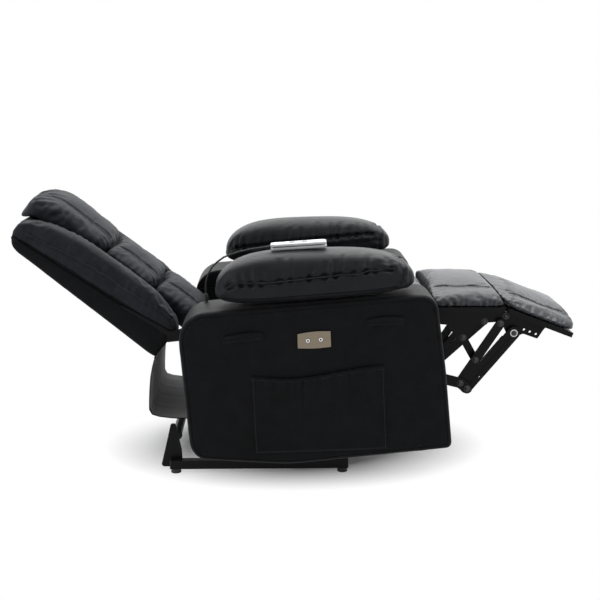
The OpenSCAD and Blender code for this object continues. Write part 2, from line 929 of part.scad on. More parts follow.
module foot_brackets() {
    under = -board_t / 2 - seat_gap;
    color(c_steel)
        foot_place()
            both_sides()
                difference() {
                    side_plate(layer_in(5), layer_in(5) + link_t)
                        polygon(rounded([[-6, under - 1, 6], [-10, -28, 10], [28, -64, 14], [46, -72, 14],
                            [62, -60, 10], [74, -49, 10], [118, -48, 5], [124, -18, 6], [128, under, 0],
                            [8, under, 0], [6, under - 1, 0]], 4));
                    for (x = [72, 90, 109])
                        cross_round([x, -37], 3.4, layer_in(5) - 1, layer_in(5) + link_t + 1);
                }
    color(c_steel)
        both_sides()
            pin(foot_hinge, layer_in(5) + 1, layer_in(4) + link_t, pin_r);
}

// ---------- folding links ----------

module swing_arms() {
    color(c_steel)
        both_sides()
            difference() {
                side_plate(layer_in(1), layer_in(1) + link_t)
                    union() {
                        bar_outline(swing_pivot, [350, 264], link_w);
                        bar_outline([350, 264], rear_link_low, link_w + 4);
                        bar_outline(rear_link_low, channel_low, link_w + 4);
                    }
                for (p = [swing_pivot, rear_link_low, channel_low])
                    cross_round(p, pin_r + pin_clear, layer_in(1) - 1, layer_in(1) + link_t + 1);
            }
    color(c_steel)
        both_sides()
            pin(swing_pivot, layer_in(1), plate_out - 1, pin_r);
}

module rear_parallel_links() {
    color(c_steel)
        both_sides() {
            flat_link(rear_link_low, rear_link_top, link_w, 2, []);
            cross_round(rear_link_low, pin_r, layer_in(2), layer_in(1) + link_t + 1);
        }
}

// A point along the channel link, and to one side of its middle
function channel_at(t, off) =
    let (along = unit(channel_top - channel_low))
    channel_low + (channel_top - channel_low) * t + off * [-along[1], along[0]];

module front_channel_links() {
    color(c_steel)
        both_sides() {
            flat_link(channel_low, channel_top, channel_w, 3, [[475, 262]]);
            cross_round(channel_low, pin_r, layer_in(3), layer_in(1) + link_t + 1);
            for (side = [-1, 1])
                side_plate(layer_in(3) - 7, layer_in(3) + 0.5)
                    bar_outline(channel_at(0.14, side * (channel_w / 2 - 1.5)),
                        channel_at(0.86, side * (channel_w / 2 - 1.5)), 3);
            side_plate(layer_in(3) + link_t - 0.5, layer_in(3) + link_t + 1.2)
                bar_outline(channel_at(0.1, -4), channel_at(0.9, -4), 7);
        }
}

module cross_links() {
    color(c_steel)
        both_sides() {
            flat_link(cross_top, cross_low, link_w - 4, 5, [cross_top]);
            pin(cross_top, layer_in(5), layer_in(4) + link_t, pin_r);
        }
}

module push_links() {
    color(c_steel)
        both_sides() {
            flat_link(push_low, push_top, link_w, 6, []);
            cross_round(push_low, pin_r, layer_in(7) - 1, layer_in(6));
        }
}

module torque_tube() {
    color(c_steel) {
        cross_round(torque_pivot, tube_r, -layer_in(7), layer_in(7));
        rod_lugs(torque_pivot, recline_end);
        both_sides()
            flat_link(torque_pivot, push_low, link_w + 4, 7, [push_low]);
    }
}

recline_base = [-160, 200];
recline_end = [209, 231];
module recline_motor() {
    along = unit(recline_end - recline_base);
    color(c_steel)
        difference() {
            union() {
                cross_round(recline_base, 15, -12, 12);
                actuator_tube(recline_base + along * 5, recline_base + along * 210, 0, motor_tube_r);
                translate([recline_base[0] + 24, -30, recline_base[1] + 4])
                    cube([52, 60, 40]);
            }
            cross_round(recline_base, lift_pin_r + pin_clear, -13, 13);
            actuator_tube(recline_base + along * 22, recline_base + along * 220, 0, rod_r + pin_clear);
        }
}

module recline_motor_rod() {
    along = unit(recline_end - recline_base);
    color(c_zinc) {
        actuator_tube(recline_base + along * 112, recline_end - along * 4, 0, rod_r);
        cross_round(recline_end, 11, -9, 9);
    }
}

// ---------- assembly, centred over the outline ----------

module centred() {
    translate([-mid_x, 0, 0])
        children();
}

centred() base_right_rail();
centred() base_left_rail();
centred() base_cross_tubes();
centred() base_rear_tube();
centred() base_rear_brackets();
centred() lift_pivot_brackets();
centred() base_feet();
centred() lift_pivot_pins();
centred() lift_arm_right();
centred() lift_arm_left();
centred() lift_cross_tube();
centred() lift_stays();
centred() lift_motor();
centred() lift_motor_rod();
centred() mechanism_plate_right();
centred() mechanism_plate_left();
centred() front_cross_bar();
centred() rear_cross_bar();
centred() lift_hangers();
centred() motion_hangers();
centred() seat_frame();
centred() seat_springs();
centred() rear_bottom_rail();
centred() seat_cushion();
centred() rear_skirt();
centred() side_panel_right();
centred() side_panel_left();
centred() arm_pad_right();
centred() arm_pad_left();
centred() side_pocket();
centred() grab_straps();
centred() button_plate();
centred() button_recline();
centred() button_return();
centred() handset();
centred() handset_key_up();
centred() handset_key_down();
centred() handset_cord();
centred() cord_gland();
centred() back_brackets();
centred() back_shell();
centred() bolster_right();
centred() bolster_left();
centred() head_pillow();
centred() middle_pillow();
centred() lumbar_pillow();
centred() calf_board();
centred() calf_pad();
centred() calf_brackets();
centred() foot_board();
centred() foot_pad();
centred() foot_brackets();
centred() swing_arms();
centred() rear_parallel_links();
centred() front_channel_links();
centred() cross_links();
centred() push_links();
centred() torque_tube();
centred() recline_motor();
centred() recline_motor_rod();
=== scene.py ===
"""Lift recliner chair: dresses the chair's frame in leather, steel and plastic."""

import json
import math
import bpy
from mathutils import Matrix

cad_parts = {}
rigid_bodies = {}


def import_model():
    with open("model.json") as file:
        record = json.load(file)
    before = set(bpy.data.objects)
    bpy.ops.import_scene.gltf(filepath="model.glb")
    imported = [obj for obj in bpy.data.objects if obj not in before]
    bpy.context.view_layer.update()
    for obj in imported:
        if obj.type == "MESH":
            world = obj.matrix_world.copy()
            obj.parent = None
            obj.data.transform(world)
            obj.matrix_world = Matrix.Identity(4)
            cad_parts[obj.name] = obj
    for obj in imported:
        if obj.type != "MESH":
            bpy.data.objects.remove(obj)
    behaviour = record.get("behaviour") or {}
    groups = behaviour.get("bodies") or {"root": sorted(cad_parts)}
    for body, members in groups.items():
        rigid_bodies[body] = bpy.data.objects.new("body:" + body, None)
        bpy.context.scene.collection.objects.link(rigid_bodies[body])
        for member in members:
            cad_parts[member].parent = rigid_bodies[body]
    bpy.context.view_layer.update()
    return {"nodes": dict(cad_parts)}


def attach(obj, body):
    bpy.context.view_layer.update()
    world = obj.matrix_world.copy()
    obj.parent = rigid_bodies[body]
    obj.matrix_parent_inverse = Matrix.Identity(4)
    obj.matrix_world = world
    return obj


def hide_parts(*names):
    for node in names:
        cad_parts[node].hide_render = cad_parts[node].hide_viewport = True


bl_info = {
    "name": "Lift Recliner Chair",
    "version": (1, 0, 0),
    "blender": (4, 5, 0),
    "location": "View3D > Sidebar > Recliner",
    "description": "Builds a powered lift recliner with padded leather, folding links and a lift base",
    "category": "Object",
}

import bmesh
import bpy
import numpy as np
from mathutils import Matrix, Vector
from mathutils.bvhtree import BVHTree

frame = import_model()
NODES = frame["nodes"]

# The side view is drawn from the middle of the armrests, and this is where that lies
MID = 0.0468757
BACK_LEAN = math.radians(51)
BACK_ORIGIN = Vector((-0.445 + MID, 0, 0.323))
FOOT_TILT = math.radians(21)
FOOT_ORIGIN = Vector((0.549 + MID, 0, 0.455))
# Hard pieces shade smooth up to this angle between faces
SHARP = math.radians(30)


# ---------- sizes and colours ----------


class ReclinerFinishes(bpy.types.PropertyGroup):
    # Painted shade: the leather on the sides and back is set darker than the pads, for the sides that face away from
    # the light
    leather: bpy.props.FloatVectorProperty(
        name="Leather", description="Colour of the leather on the sides and back",
        subtype="COLOR", size=3, min=0, max=1, default=(0.0062, 0.0066, 0.0074))
    # Painted light: the same leather on the pads is set lighter, for the light that falls on their tops
    pad_leather: bpy.props.FloatVectorProperty(
        name="Pad leather", description="Colour of the leather on the pads",
        subtype="COLOR", size=3, min=0, max=1, default=(0.027, 0.0295, 0.0355))
    lining: bpy.props.FloatVectorProperty(
        name="Lining", description="Colour of the cloth inside the rear skirt",
        subtype="COLOR", size=3, min=0, max=1, default=(0.07, 0.07, 0.072))
    steel: bpy.props.FloatVectorProperty(
        name="Steel", description="Colour of the powder coated steel",
        subtype="COLOR", size=3, min=0, max=1, default=(0.0045, 0.0045, 0.005))
    zinc: bpy.props.FloatVectorProperty(
        name="Zinc", description="Colour of the zinc plated pins and rods",
        subtype="COLOR", size=3, min=0, max=1, default=(0.55, 0.55, 0.56))
    plate: bpy.props.FloatVectorProperty(
        name="Button plate", description="Colour of the satin button plate",
        subtype="COLOR", size=3, min=0, max=1, default=(0.22, 0.185, 0.14))
    handset: bpy.props.FloatVectorProperty(
        name="Handset", description="Colour of the handset's shell",
        subtype="COLOR", size=3, min=0, max=1, default=(0.9, 0.9, 0.9))
    grain: bpy.props.FloatProperty(
        name="Leather grain", description="Height of the leather grain",
        subtype="DISTANCE", unit="LENGTH", min=0, max=0.001, default=0.00022)


class ReclinerSizes(bpy.types.PropertyGroup):
    swell: bpy.props.FloatProperty(
        name="Pad swell", description="Most that a padded piece may swell when it is filled",
        subtype="DISTANCE", unit="LENGTH", min=0.005, max=0.03, default=0.024)
    pressure: bpy.props.FloatProperty(
        name="Pad pressure", description="Pressure that fills the padded pieces",
        min=0.5, max=8, default=4)
    voxel: bpy.props.FloatProperty(
        name="Cloth cell", description="Size of the cloth's cells on the padded pieces",
        subtype="DISTANCE", unit="LENGTH", min=0.004, max=0.012, default=0.006)
    piping: bpy.props.FloatProperty(
        name="Piping", description="Radius of the piping along the seams",
        subtype="DISTANCE", unit="LENGTH", min=0.001, max=0.004, default=0.0022)


# ---------- shader maths ----------


class Sock:
    """A node socket or number that takes part in sums."""

    def __init__(self, tree, value):
        self.tree = tree
        self.value = value

    def _math(self, operation, *others):
        node = self.tree.nodes.new("ShaderNodeMath")
        node.operation = operation
        for slot, item in zip(node.inputs, (self,) + others):
            item = item.value if isinstance(item, Sock) else item
            if isinstance(item, (int, float)):
                slot.default_value = item
            else:
                self.tree.links.new(item, slot)
        return Sock(self.tree, node.outputs[0])

    def __add__(self, other):
        return self._math("ADD", other)

    def __mul__(self, other):
        return self._math("MULTIPLY", other)

    def clamp(self):
        return self._math("MAXIMUM", 0)._math("MINIMUM", 1)


class Finish:
    """One node material, with short ways to add nodes."""

    def __init__(self, name):
        self.material = bpy.data.materials.new(name)
        self.material.use_nodes = True
        self.tree = self.material.node_tree
        self.tree.nodes.clear()
        self.out = self.tree.nodes.new("ShaderNodeOutputMaterial")
        self.shader = self.tree.nodes.new("ShaderNodeBsdfPrincipled")
        self.tree.links.new(self.shader.outputs[0], self.out.inputs["Surface"])

    def node(self, kind, settings=None, output=0, **sockets):
        node = self.tree.nodes.new(kind)
        for key, value in (settings or {}).items():
            if key == "stops":
                ramp = node.color_ramp
                while len(ramp.elements) < len(value):
                    ramp.elements.new(0.5)
                for element, (place, shade) in zip(ramp.elements, value):
                    element.position = place
                    element.color = (shade, shade, shade, 1) if isinstance(shade, float) else (*shade, 1)
            else:
                setattr(node, key, value)
        for key, value in sockets.items():
            socket = int(key[1:]) if key[0] == "i" and key[1:].isdigit() else key.replace("_", " ")
            self.feed(node.inputs[socket], value)
        return Sock(self.tree, node.outputs[output])

    def feed(self, socket, value):
        value = value.value if isinstance(value, Sock) else value
        if isinstance(value, bpy.types.NodeSocket):
            self.tree.links.new(value, socket)
        else:
            socket.default_value = value

    def coords(self, scale=(1, 1, 1)):
        where = self.node("ShaderNodeTexCoord", output=3)
        return self.node("ShaderNodeMapping", Vector=where, Scale=scale)

    def noise(self, vector, scale, detail=2.0, roughness=0.5, distortion=0.0):
        return self.node("ShaderNodeTexNoise", Vector=vector, Scale=scale, Detail=detail,
                         Roughness=roughness, Distortion=distortion)

    def cells(self, vector, scale, feature="F1", output=0):
        return self.node("ShaderNodeTexVoronoi", {"feature": feature}, output, Vector=vector, Scale=scale)

    def ramp(self, value, *stops):
        return self.node("ShaderNodeValToRGB", {"stops": stops}, Fac=value)

    def mix(self, amount, low, high):
        kind = {"data_type": "RGBA"}
        low = (*low, 1) if isinstance(low, tuple) and len(low) == 3 else low
        high = (*high, 1) if isinstance(high, tuple) and len(high) == 3 else high
        return self.node("ShaderNodeMix", kind, 2, i0=amount, i6=low, i7=high)

    def bump(self, height, distance, strength=1.0, normal=None):
        extra = {} if normal is None else {"Normal": normal}
        return self.node("ShaderNodeBump", Height=height, Distance=distance, Strength=strength, **extra)

    def set(self, **values):
        for key, value in values.items():
            self.feed(self.shader.inputs[key.replace("_", " ")], value)
        return self.material


def shade(color, factor):
    return tuple(min(1.0, part * factor) for part in color)


FINISHES = {}


def leather(name, color, grain, wear, rough, gleam):
    """Faux leather: pebbled grain, fine creases, rubbed high spots and a soft sheen."""
    f = Finish(name)
    where = f.coords()
    broad = f.noise(where, 5.0, 3.0, 0.55)
    patch = f.noise(where, 22.0, 4.0, 0.6)
    pebble = f.cells(where, 620.0)
    crack = f.cells(where, 300.0, "DISTANCE_TO_EDGE")
    fine = f.noise(where, 1500.0, 2.0, 0.6)
    crease = f.node("ShaderNodeTexNoise", {"noise_dimensions": "3D"}, Vector=f.coords((1.0, 1.0, 1.6)), Scale=34.0,
                    Detail=5.0, Roughness=0.62, Distortion=1.2)
    valley = f.ramp(crack, (0.0, 0.0), (0.14, 1.0))
    tone = f.mix(f.ramp(patch, (0.35, 0.0), (0.68, 1.0)), shade(color, 0.78), shade(color, 1.3))
    tone = f.mix(f.ramp(broad, (0.42, 0.0), (0.7, 0.45 * wear)), tone, shade(color, 1.9))
    height = pebble * -0.55 + valley * 0.5 + fine * 0.25
    skin = f.bump(height, grain, 0.6)
    skin = f.bump(crease, 0.0012, 0.35, skin)
    gloss = (patch * 0.16 + broad * 0.1 + (rough - 0.13)).clamp()
    f.set(Base_Color=tone, Roughness=gloss, Normal=skin, Specular_IOR_Level=gleam, Sheen_Weight=0.04,
          Sheen_Roughness=0.45)
    return f.material


def coated_steel(name, color):
    """Powder coat: fine orange peel, dust on the flats and small scuffs."""
    f = Finish(name)
    where = f.coords()
    peel = f.noise(where, 900.0, 2.0, 0.5)
    dust = f.noise(where, 26.0, 4.0, 0.6)
    scuff = f.noise(f.coords((1, 1, 6)), 90.0, 5.0, 0.7)
    mark = f.ramp(scuff, (0.66, 0.0), (0.74, 1.0))
    tone = f.mix(dust, shade(color, 0.8), shade(color, 1.6))
    tone = f.mix(mark * 0.35, tone, shade(color, 4.0))
    f.set(Base_Color=tone, Roughness=(dust * 0.2 + 0.27 + mark * 0.15).clamp(),
          Normal=f.bump(peel, 0.00012, 0.5), Specular_IOR_Level=0.12)
    return f.material


def brushed(name, color, stretch=(2, 60, 60), rough=0.3):
    """Plated or satin metal with fine drawn lines."""
    f = Finish(name)
    lines = f.noise(f.coords(stretch), 12.0, 4.0, 0.65)
    cloud = f.noise(f.coords(), 40.0, 3.0, 0.5)
    tone = f.mix(lines, shade(color, 0.82), shade(color, 1.14))
    f.set(Base_Color=tone, Metallic=1.0, Roughness=(lines * 0.16 + cloud * 0.1 + (rough - 0.12)).clamp(),
          Normal=f.bump(lines, 0.00006, 0.4))
    return f.material


def plastic(name, color, rough, texture=0.00005):
    """Moulded plastic with a fine spark-eroded texture."""
    f = Finish(name)
    where = f.coords()
    spark = f.noise(where, 1800.0, 2.0, 0.5)
    haze = f.noise(where, 30.0, 3.0, 0.5)
    tone = f.mix(haze, shade(color, 0.95), shade(color, 1.04))
    f.set(Base_Color=tone, Roughness=(haze * 0.08 + (rough - 0.04)).clamp(), Normal=f.bump(spark, texture, 0.6))
    return f.material


def cloth(name, color):
    """Plain woven lining cloth."""
    f = Finish(name)
    warp, weft = (f.node("ShaderNodeTexWave", {"bands_direction": way}, Vector=f.coords(), Scale=150.0,
                         Distortion=0.6, Detail=1.0) for way in "XZ")
    fade = f.noise(f.coords(), 12.0, 3.0, 0.5)
    tone = f.mix(fade, shade(color, 0.8), shade(color, 1.2))
    f.set(Base_Color=tone, Roughness=0.9, Normal=f.bump(warp + weft, 0.0002, 0.5), Sheen_Weight=0.25)
    return f.material


def timber(name, color, dark):
    """Softwood or plywood with grain along X."""
    f = Finish(name)
    where = f.coords((1.2, 16, 16))
    rings = f.noise(where, 5.0, 5.0, 0.6, 0.8)
    pores = f.noise(f.coords((8, 260, 260)), 3.0, 3.0, 0.6)
    tone = f.mix(f.ramp(rings, (0.3, 0.0), (0.7, 1.0)), dark, color)
    f.set(Base_Color=tone, Roughness=(pores * 0.2 + 0.5).clamp(), Normal=f.bump(pores, 0.0002, 0.5))
    return f.material


def rubber(name, color):
    """Dull black rubber with a bloom of dust."""
    f = Finish(name)
    bloom = f.noise(f.coords(), 60.0, 4.0, 0.6)
    tone = f.mix(bloom, shade(color, 0.8), shade(color, 1.9))
    f.set(Base_Color=tone, Roughness=(bloom * 0.15 + 0.6).clamp(), Normal=f.bump(bloom, 0.0003, 0.3))
    return f.material


def make_finishes(scene):
    c = scene.recliner_finishes
    FINISHES.clear()
    FINISHES.update(
        # One leather in four shades that stand for light and shade: the seat and leg pads lightest as painted light on
        # their tops, the pillows and bolsters a little darker, the arms darker still, and the side panels, back and
        # trims darkest as painted shade on the sides
        leather=leather("panel_leather", tuple(c.leather), c.grain, 0.6, 0.54, 0.07),
        pad=leather("pad_leather", tuple(c.pad_leather), c.grain, 1.0, 0.42, 0.36),
        pillow=leather("pillow_leather_painted_light", shade(tuple(c.pad_leather), 0.75), c.grain, 0.9, 0.58, 0.08),
        arm=leather("arm_leather_painted_light", shade(tuple(c.pad_leather), 0.3), c.grain, 0.8, 0.47, 0.16),
        lining=cloth("skirt_lining", tuple(c.lining)),
        steel=coated_steel("black_powder_coat", tuple(c.steel)),
        zinc=brushed("zinc_plate", tuple(c.zinc)),
        rivet=brushed("black_rivet_heads", (0.05, 0.05, 0.052), (60, 60, 60), 0.34),
        plate=brushed("satin_button_plate", tuple(c.plate), (3, 90, 90), 0.34),
        button=brushed("button_metal", (0.68, 0.67, 0.65), (60, 60, 60), 0.25),
        handset=plastic("handset_shell", tuple(c.handset), 0.42, 0.00003),
        key=plastic("handset_keys", (0.3, 0.31, 0.33), 0.45),
        black_plastic=plastic("black_plastic", (0.012, 0.012, 0.013), 0.4),
        motor=plastic("motor_housing", (0.018, 0.018, 0.02), 0.5, 0.0001),
        rubber=rubber("black_rubber", (0.012, 0.012, 0.012)),
        board=coated_steel("painted_board", (0.0045, 0.0045, 0.005)),
        pine=timber("pine_boards", (0.56, 0.4, 0.22), (0.36, 0.22, 0.1)),
        thread=plastic("sewing_thread", (0.03, 0.032, 0.036), 0.7),
    )


def dress(node, finish):
    mesh = NODES[node].data
    mesh.materials.clear()
    mesh.materials.append(FINISHES[finish])


def assign(o, finish, body, *nodes):
    """Gives a piece its finish, the solids it stands for and its body."""
    o.data.materials.append(FINISHES[finish])
    if nodes:
        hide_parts(*nodes)
    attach(o, body)
    return o


# ---------- stage ----------


def open_rays(tree):
    """1 for the rays that see the background: camera, glossy and transmission rays."""
    path = tree.nodes.new("ShaderNodeLightPath")
    camera, glossy, through = (Sock(tree, path.outputs[f"Is {kind} Ray"]) for kind in
                               ("Camera", "Glossy", "Transmission"))
    return (camera + glossy + through).clamp()


LENS = 67.86
EYE = Vector((MID - 0.1028555, -3.33256, 1.108433))
EYE_AHEAD = Vector((0.021251, 0.980384, -0.195951))
EYE_RIGHT = Vector((0.999765, -0.021671, 0))
LAMPS = (
    # name, place, aim, size, watts
    ("Overhead", (0.2, 1.1, 3.1), (0.1, 0.1, 0.3), (4.2, 3.2), 165),
    ("Backdrop", (0.2, 3.3, 1.3), (0.1, 0.0, 0.6), (5.5, 2.4), 38),
    ("Left", (-3.0, -1.6, 1.5), (0.0, -0.4, 0.35), (0.8, 1.4), 19),
    ("Right", (3.0, -1.0, 1.5), (0.3, -0.4, 0.35), (0.8, 1.2), 15),
)
# The floor keeps the shadow near the chair and fades to paper white between these two reaches
FADE_START, FADE_END = 0.16, 0.29
FLOOR_REACH = 14
SKY, SKY_STRENGTH = (0.9, 0.93, 0.97, 1), 0.2


class RECLINER_OT_stage(bpy.types.Operator):
    """Sets the camera, the soft lights and the pale floor"""

    bl_idname = "recliner.stage"
    bl_label = "Stage"

    def execute(self, context):
        scene = context.scene
        for o in [o for o in bpy.data.objects if o.type in {"LIGHT", "CAMERA"} or o.name == "Cube"]:
            bpy.data.objects.remove(o)
        camera = bpy.data.cameras.new("Camera")
        camera.lens = LENS
        camera.sensor_width = 36
        camera.clip_end = 60
        eye = bpy.data.objects.new("Camera", camera)
        scene.collection.objects.link(eye)
        ahead, right = EYE_AHEAD.normalized(), EYE_RIGHT.normalized()
        up = right.cross(ahead).normalized()
        turn = Matrix((right, up, -ahead)).transposed().to_4x4()
        eye.matrix_world = Matrix.Translation(EYE) @ turn
        scene.camera = eye

        for name, place, aim, size, power in LAMPS:
            lamp = bpy.data.lights.new(name, "AREA")
            lamp.shape = "RECTANGLE"
            lamp.size, lamp.size_y = size
            lamp.energy = power
            o = bpy.data.objects.new(name, lamp)
            scene.collection.objects.link(o)
            o.location = place
            o.rotation_euler = (Vector(aim) - Vector(place)).to_track_quat("-Z", "Y").to_euler()
            o.visible_camera = False

        bm = bmesh.new()
        bmesh.ops.create_grid(bm, x_segments=2, y_segments=2, size=FLOOR_REACH)
        floor = add_mesh("floor", bm)
        f = Finish("floor_paper")
        grain = f.noise(f.coords(), 8.0)
        f.set(Base_Color=f.mix(grain, (0.9, 0.9, 0.9), (0.93, 0.93, 0.93)), Roughness=0.9)
        glow = f.node("ShaderNodeEmission")
        away = f.node("ShaderNodeVectorMath", {"operation": "LENGTH"}, 1, i0=f.coords((1.0, 1.35, 1)))
        seen = open_rays(f.tree)
        blend = f.tree.nodes.new("ShaderNodeMixShader")
        f.feed(blend.inputs[0], f.ramp(away * 0.5, (FADE_START, 0.0), (FADE_END, 1.0)) * seen)
        f.tree.links.new(f.shader.outputs[0], blend.inputs[1])
        f.tree.links.new(glow.value, blend.inputs[2])
        f.tree.links.new(blend.outputs[0], f.out.inputs["Surface"])
        floor.data.materials.append(f.material)
        world = bpy.data.worlds.new("Studio")
        scene.world = world
        world.use_nodes = True
        tree = world.node_tree
        tree.nodes.clear()
        out = tree.nodes.new("ShaderNodeOutputWorld")
        soft, white = tree.nodes.new("ShaderNodeBackground"), tree.nodes.new("ShaderNodeBackground")
        soft.inputs[0].default_value = SKY
        soft.inputs[1].default_value = SKY_STRENGTH
        white.inputs[0].default_value = (1, 1, 1, 1)
        pick = tree.nodes.new("ShaderNodeMixShader")
        tree.links.new(open_rays(tree).value, pick.inputs[0])
        tree.links.new(soft.outputs[0], pick.inputs[1])
        tree.links.new(white.outputs[0], pick.inputs[2])
        tree.links.new(pick.outputs[0], out.inputs[0])
        scene.view_settings.view_transform = "Standard"
        return {"FINISHED"}


# ---------- mesh helpers ----------


def world_x(x):
    return x + MID


def side_point(x, y, z):
    """A point from the side view's x and z in millimetres, and y in metres."""
    return Vector((x / 1000 + MID, y, z / 1000))


def add_mesh(name, bm, smooth=True):
    mesh = bpy.data.meshes.new(name)
    bm.to_mesh(mesh)
    bm.free()
    if smooth:
        mesh.shade_smooth()
    o = bpy.data.objects.new(name, mesh)
    bpy.context.scene.collection.objects.link(o)
    return o


# ---------- padded pieces: shape, fill, seams and creases ----------

PADS = []
UP = Matrix.Identity(4)
FILL_FRAMES = 20
# Half width of the strip that a sewn seam holds while a pad is filled
SEAM_HOLD = 0.0035


def back_matrix():
    """Local +X runs down the back towards the seat and +Z stands out of it."""
    s, c = math.sin(BACK_LEAN), math.cos(BACK_LEAN)
    turn = Matrix(((s, 0, c), (0, 1, 0), (-c, 0, s))).to_4x4()
    return Matrix.Translation(BACK_ORIGIN) @ turn


def foot_matrix():
    return Matrix.Translation(FOOT_ORIGIN) @ Matrix.Rotation(FOOT_TILT, 4, "Y")


BACK = back_matrix()
FOOT = foot_matrix()


def rounded_block(name, place, mould, power, cuts):
    """A cube of cells drawn out to a soft block; mould turns its unit points into local ones."""
    bm = bmesh.new()
    bmesh.ops.create_cube(bm, size=2)
    bmesh.ops.subdivide_edges(bm, edges=bm.edges[:], cuts=cuts, use_grid_fill=True)
    for v in bm.verts:
        q = v.co / max(abs(part) for part in v.co)
        r = sum(abs(part) ** power for part in q) ** (1 / power)
        v.co = mould(q / r)
    bmesh.ops.transform(bm, matrix=place, verts=bm.verts)
    bmesh.ops.recalc_face_normals(bm, faces=bm.faces)
    return add_mesh(name, bm)


def points_of(o):
    co = np.empty(len(o.data.vertices) * 3)
    o.data.vertices.foreach_get("co", co)
    return co.reshape(-1, 3)


def normals_of(o):
    no = np.empty(len(o.data.vertices) * 3)
    o.data.vertices.foreach_get("normal", no)
    return no.reshape(-1, 3)


def put_points(o, co):
    o.data.vertices.foreach_set("co", co.astype(np.float32).ravel())
    o.data.update()


def bake(o):
    """Makes the evaluated shape the piece's own mesh, with no modifier left."""
    dg = bpy.context.evaluated_depsgraph_get()
    mesh = bpy.data.meshes.new_from_object(o.evaluated_get(dg))
    o.modifiers.clear()
    old = o.data
    o.data = mesh
    bpy.data.meshes.remove(old)
    mesh.shade_smooth()


def smoothed(o):
    """Rounds a piece with one level of subdivision."""
    mod = o.modifiers.new("Smooth", "SUBSURF")
    mod.levels = mod.render_levels = 1
    bake(o)


def pad(o, body, nodes, finish, place, pinned, dress_up, swell=None, fill=0.6, voxel=None, loose=0.015):
    """Keeps a shaped pad for the filling step. pinned takes local points and says which stay put."""
    sizes = bpy.context.scene.recliner_sizes
    mod = o.modifiers.new("Cells", "REMESH")
    mod.mode = "VOXEL"
    mod.voxel_size = (voxel or sizes.voxel) * 1
    mod.use_smooth_shade = True
    bake(o)
    PADS.append(dict(o=o, body=body, nodes=nodes, finish=finish, place=place, pinned=pinned, dress_up=dress_up,
                     swell=swell or sizes.swell, fill=fill, loose=loose))


def local_points(item, co):
    back = np.array(item["place"].inverted())
    return co @ back[:3, :3].T + back[:3, 3]


def fill_pads(context):
    """Blows the pads up between their sewn lines, all of them in one run."""
    scene = context.scene
    sizes = scene.recliner_sizes
    rest = {}
    for item in PADS:
        o = item["o"]
        co = points_of(o)
        rest[o.name] = co
        group = o.vertex_groups.new(name="sewn")
        hold = item["pinned"](local_points(item, co))
        group.add([int(i) for i in np.nonzero(hold)[0]], 1.0, "REPLACE")
        mod = o.modifiers.new("Cloth", "CLOTH")
        cloth = mod.settings
        cloth.quality = 4
        cloth.mass = 0.3
        cloth.tension_stiffness = 15
        cloth.compression_stiffness = 12
        cloth.shear_stiffness = 5
        cloth.bending_stiffness = 1.5
        cloth.use_pressure = True
        cloth.uniform_pressure_force = sizes.pressure
        cloth.effector_weights.gravity = 0
        cloth.shrink_min = -item["loose"]
        cloth.vertex_group_mass = "sewn"
        mod.collision_settings.use_collision = False
        mod.point_cache.frame_start = 1
        mod.point_cache.frame_end = FILL_FRAMES
    for step in range(1, FILL_FRAMES + 1):
        scene.frame_set(step)
    dg = context.evaluated_depsgraph_get()
    for item in PADS:
        o = item["o"]
        start = rest[o.name]
        shape = o.evaluated_get(dg)
        moved = np.empty(len(shape.data.vertices) * 3)
        shape.data.vertices.foreach_get("co", moved)
        moved = moved.reshape(-1, 3)
        step = moved - start
        far = np.maximum(np.linalg.norm(step, axis=1), 1e-9)
        reach = item["swell"]
        moved = start + step * (reach * np.tanh(far / reach) / far)[:, None]
        o.modifiers.clear()
        put_points(o, moved)
    scene.frame_set(1)
    for item in PADS:
        o = item["o"]
        smoothed(o)
        o.vertex_groups.clear()
        item["dress_up"](o)
        o.data.materials.clear()
        assign(o, item["finish"], item["body"], *item["nodes"])


def near_path(co, path):
    """Distance from each point to a polyline, and how far along it the nearest place lies."""
    best = np.full(len(co), 1e9)
    along = np.zeros(len(co))
    run = 0.0
    for a, b in zip(path[:-1], path[1:]):
        a, b = np.array(a, float), np.array(b, float)
        d = b - a
        length = np.linalg.norm(d)
        t = np.clip((co - a) @ d / max(length * length, 1e-12), 0, 1)
        gap = np.linalg.norm(co - (a + t[:, None] * d), axis=1)
        closer = gap < best
        best[closer] = gap[closer]
        along[closer] = run + t[closer] * length
        run += length
    return best, along / max(run, 1e-9)


def sew(o, path, depth, width):
    """Draws the surface in along a sewn line, with a low swell on both sides of it."""
    co = points_of(o)
    gap, _ = near_path(co, path)
    push = depth * np.exp(-(gap / width) ** 2) - depth * 0.18 * np.exp(-((gap - 2.2 * width) / width) ** 2)
    put_points(o, co - normals_of(o) * push[:, None])


def crease(o, folds):
    """Presses folds into a piece. Each fold is (start, end, depth, width) and fades towards its end."""
    co = points_of(o)
    no = normals_of(o)
    tree = BVHTree.FromPolygons([v.co for v in o.data.vertices], [p.vertices for p in o.data.polygons])
    push = np.zeros(len(co))
    for a, b, depth, width in folds:
        a, b = Vector(a), Vector(b)
        path = [np.array(tree.find_nearest(a.lerp(b, k / 5))[0], float) for k in range(6)]
        middle = (path[0] + path[-1]) / 2
        near = np.linalg.norm(co - middle, axis=1) < np.linalg.norm(path[-1] - path[0]) / 2 + 5 * width
        if not near.any():
            continue
        gap, along = near_path(co[near], path)
        fade = np.clip(1 - along, 0, 1) ** 0.7
        ridge = 0.45 * np.exp(-((gap - 2.0 * width) / width) ** 2)
        push[near] += depth * fade * (np.exp(-(gap / width) ** 2) - ridge)
    put_points(o, co - no * push[:, None])


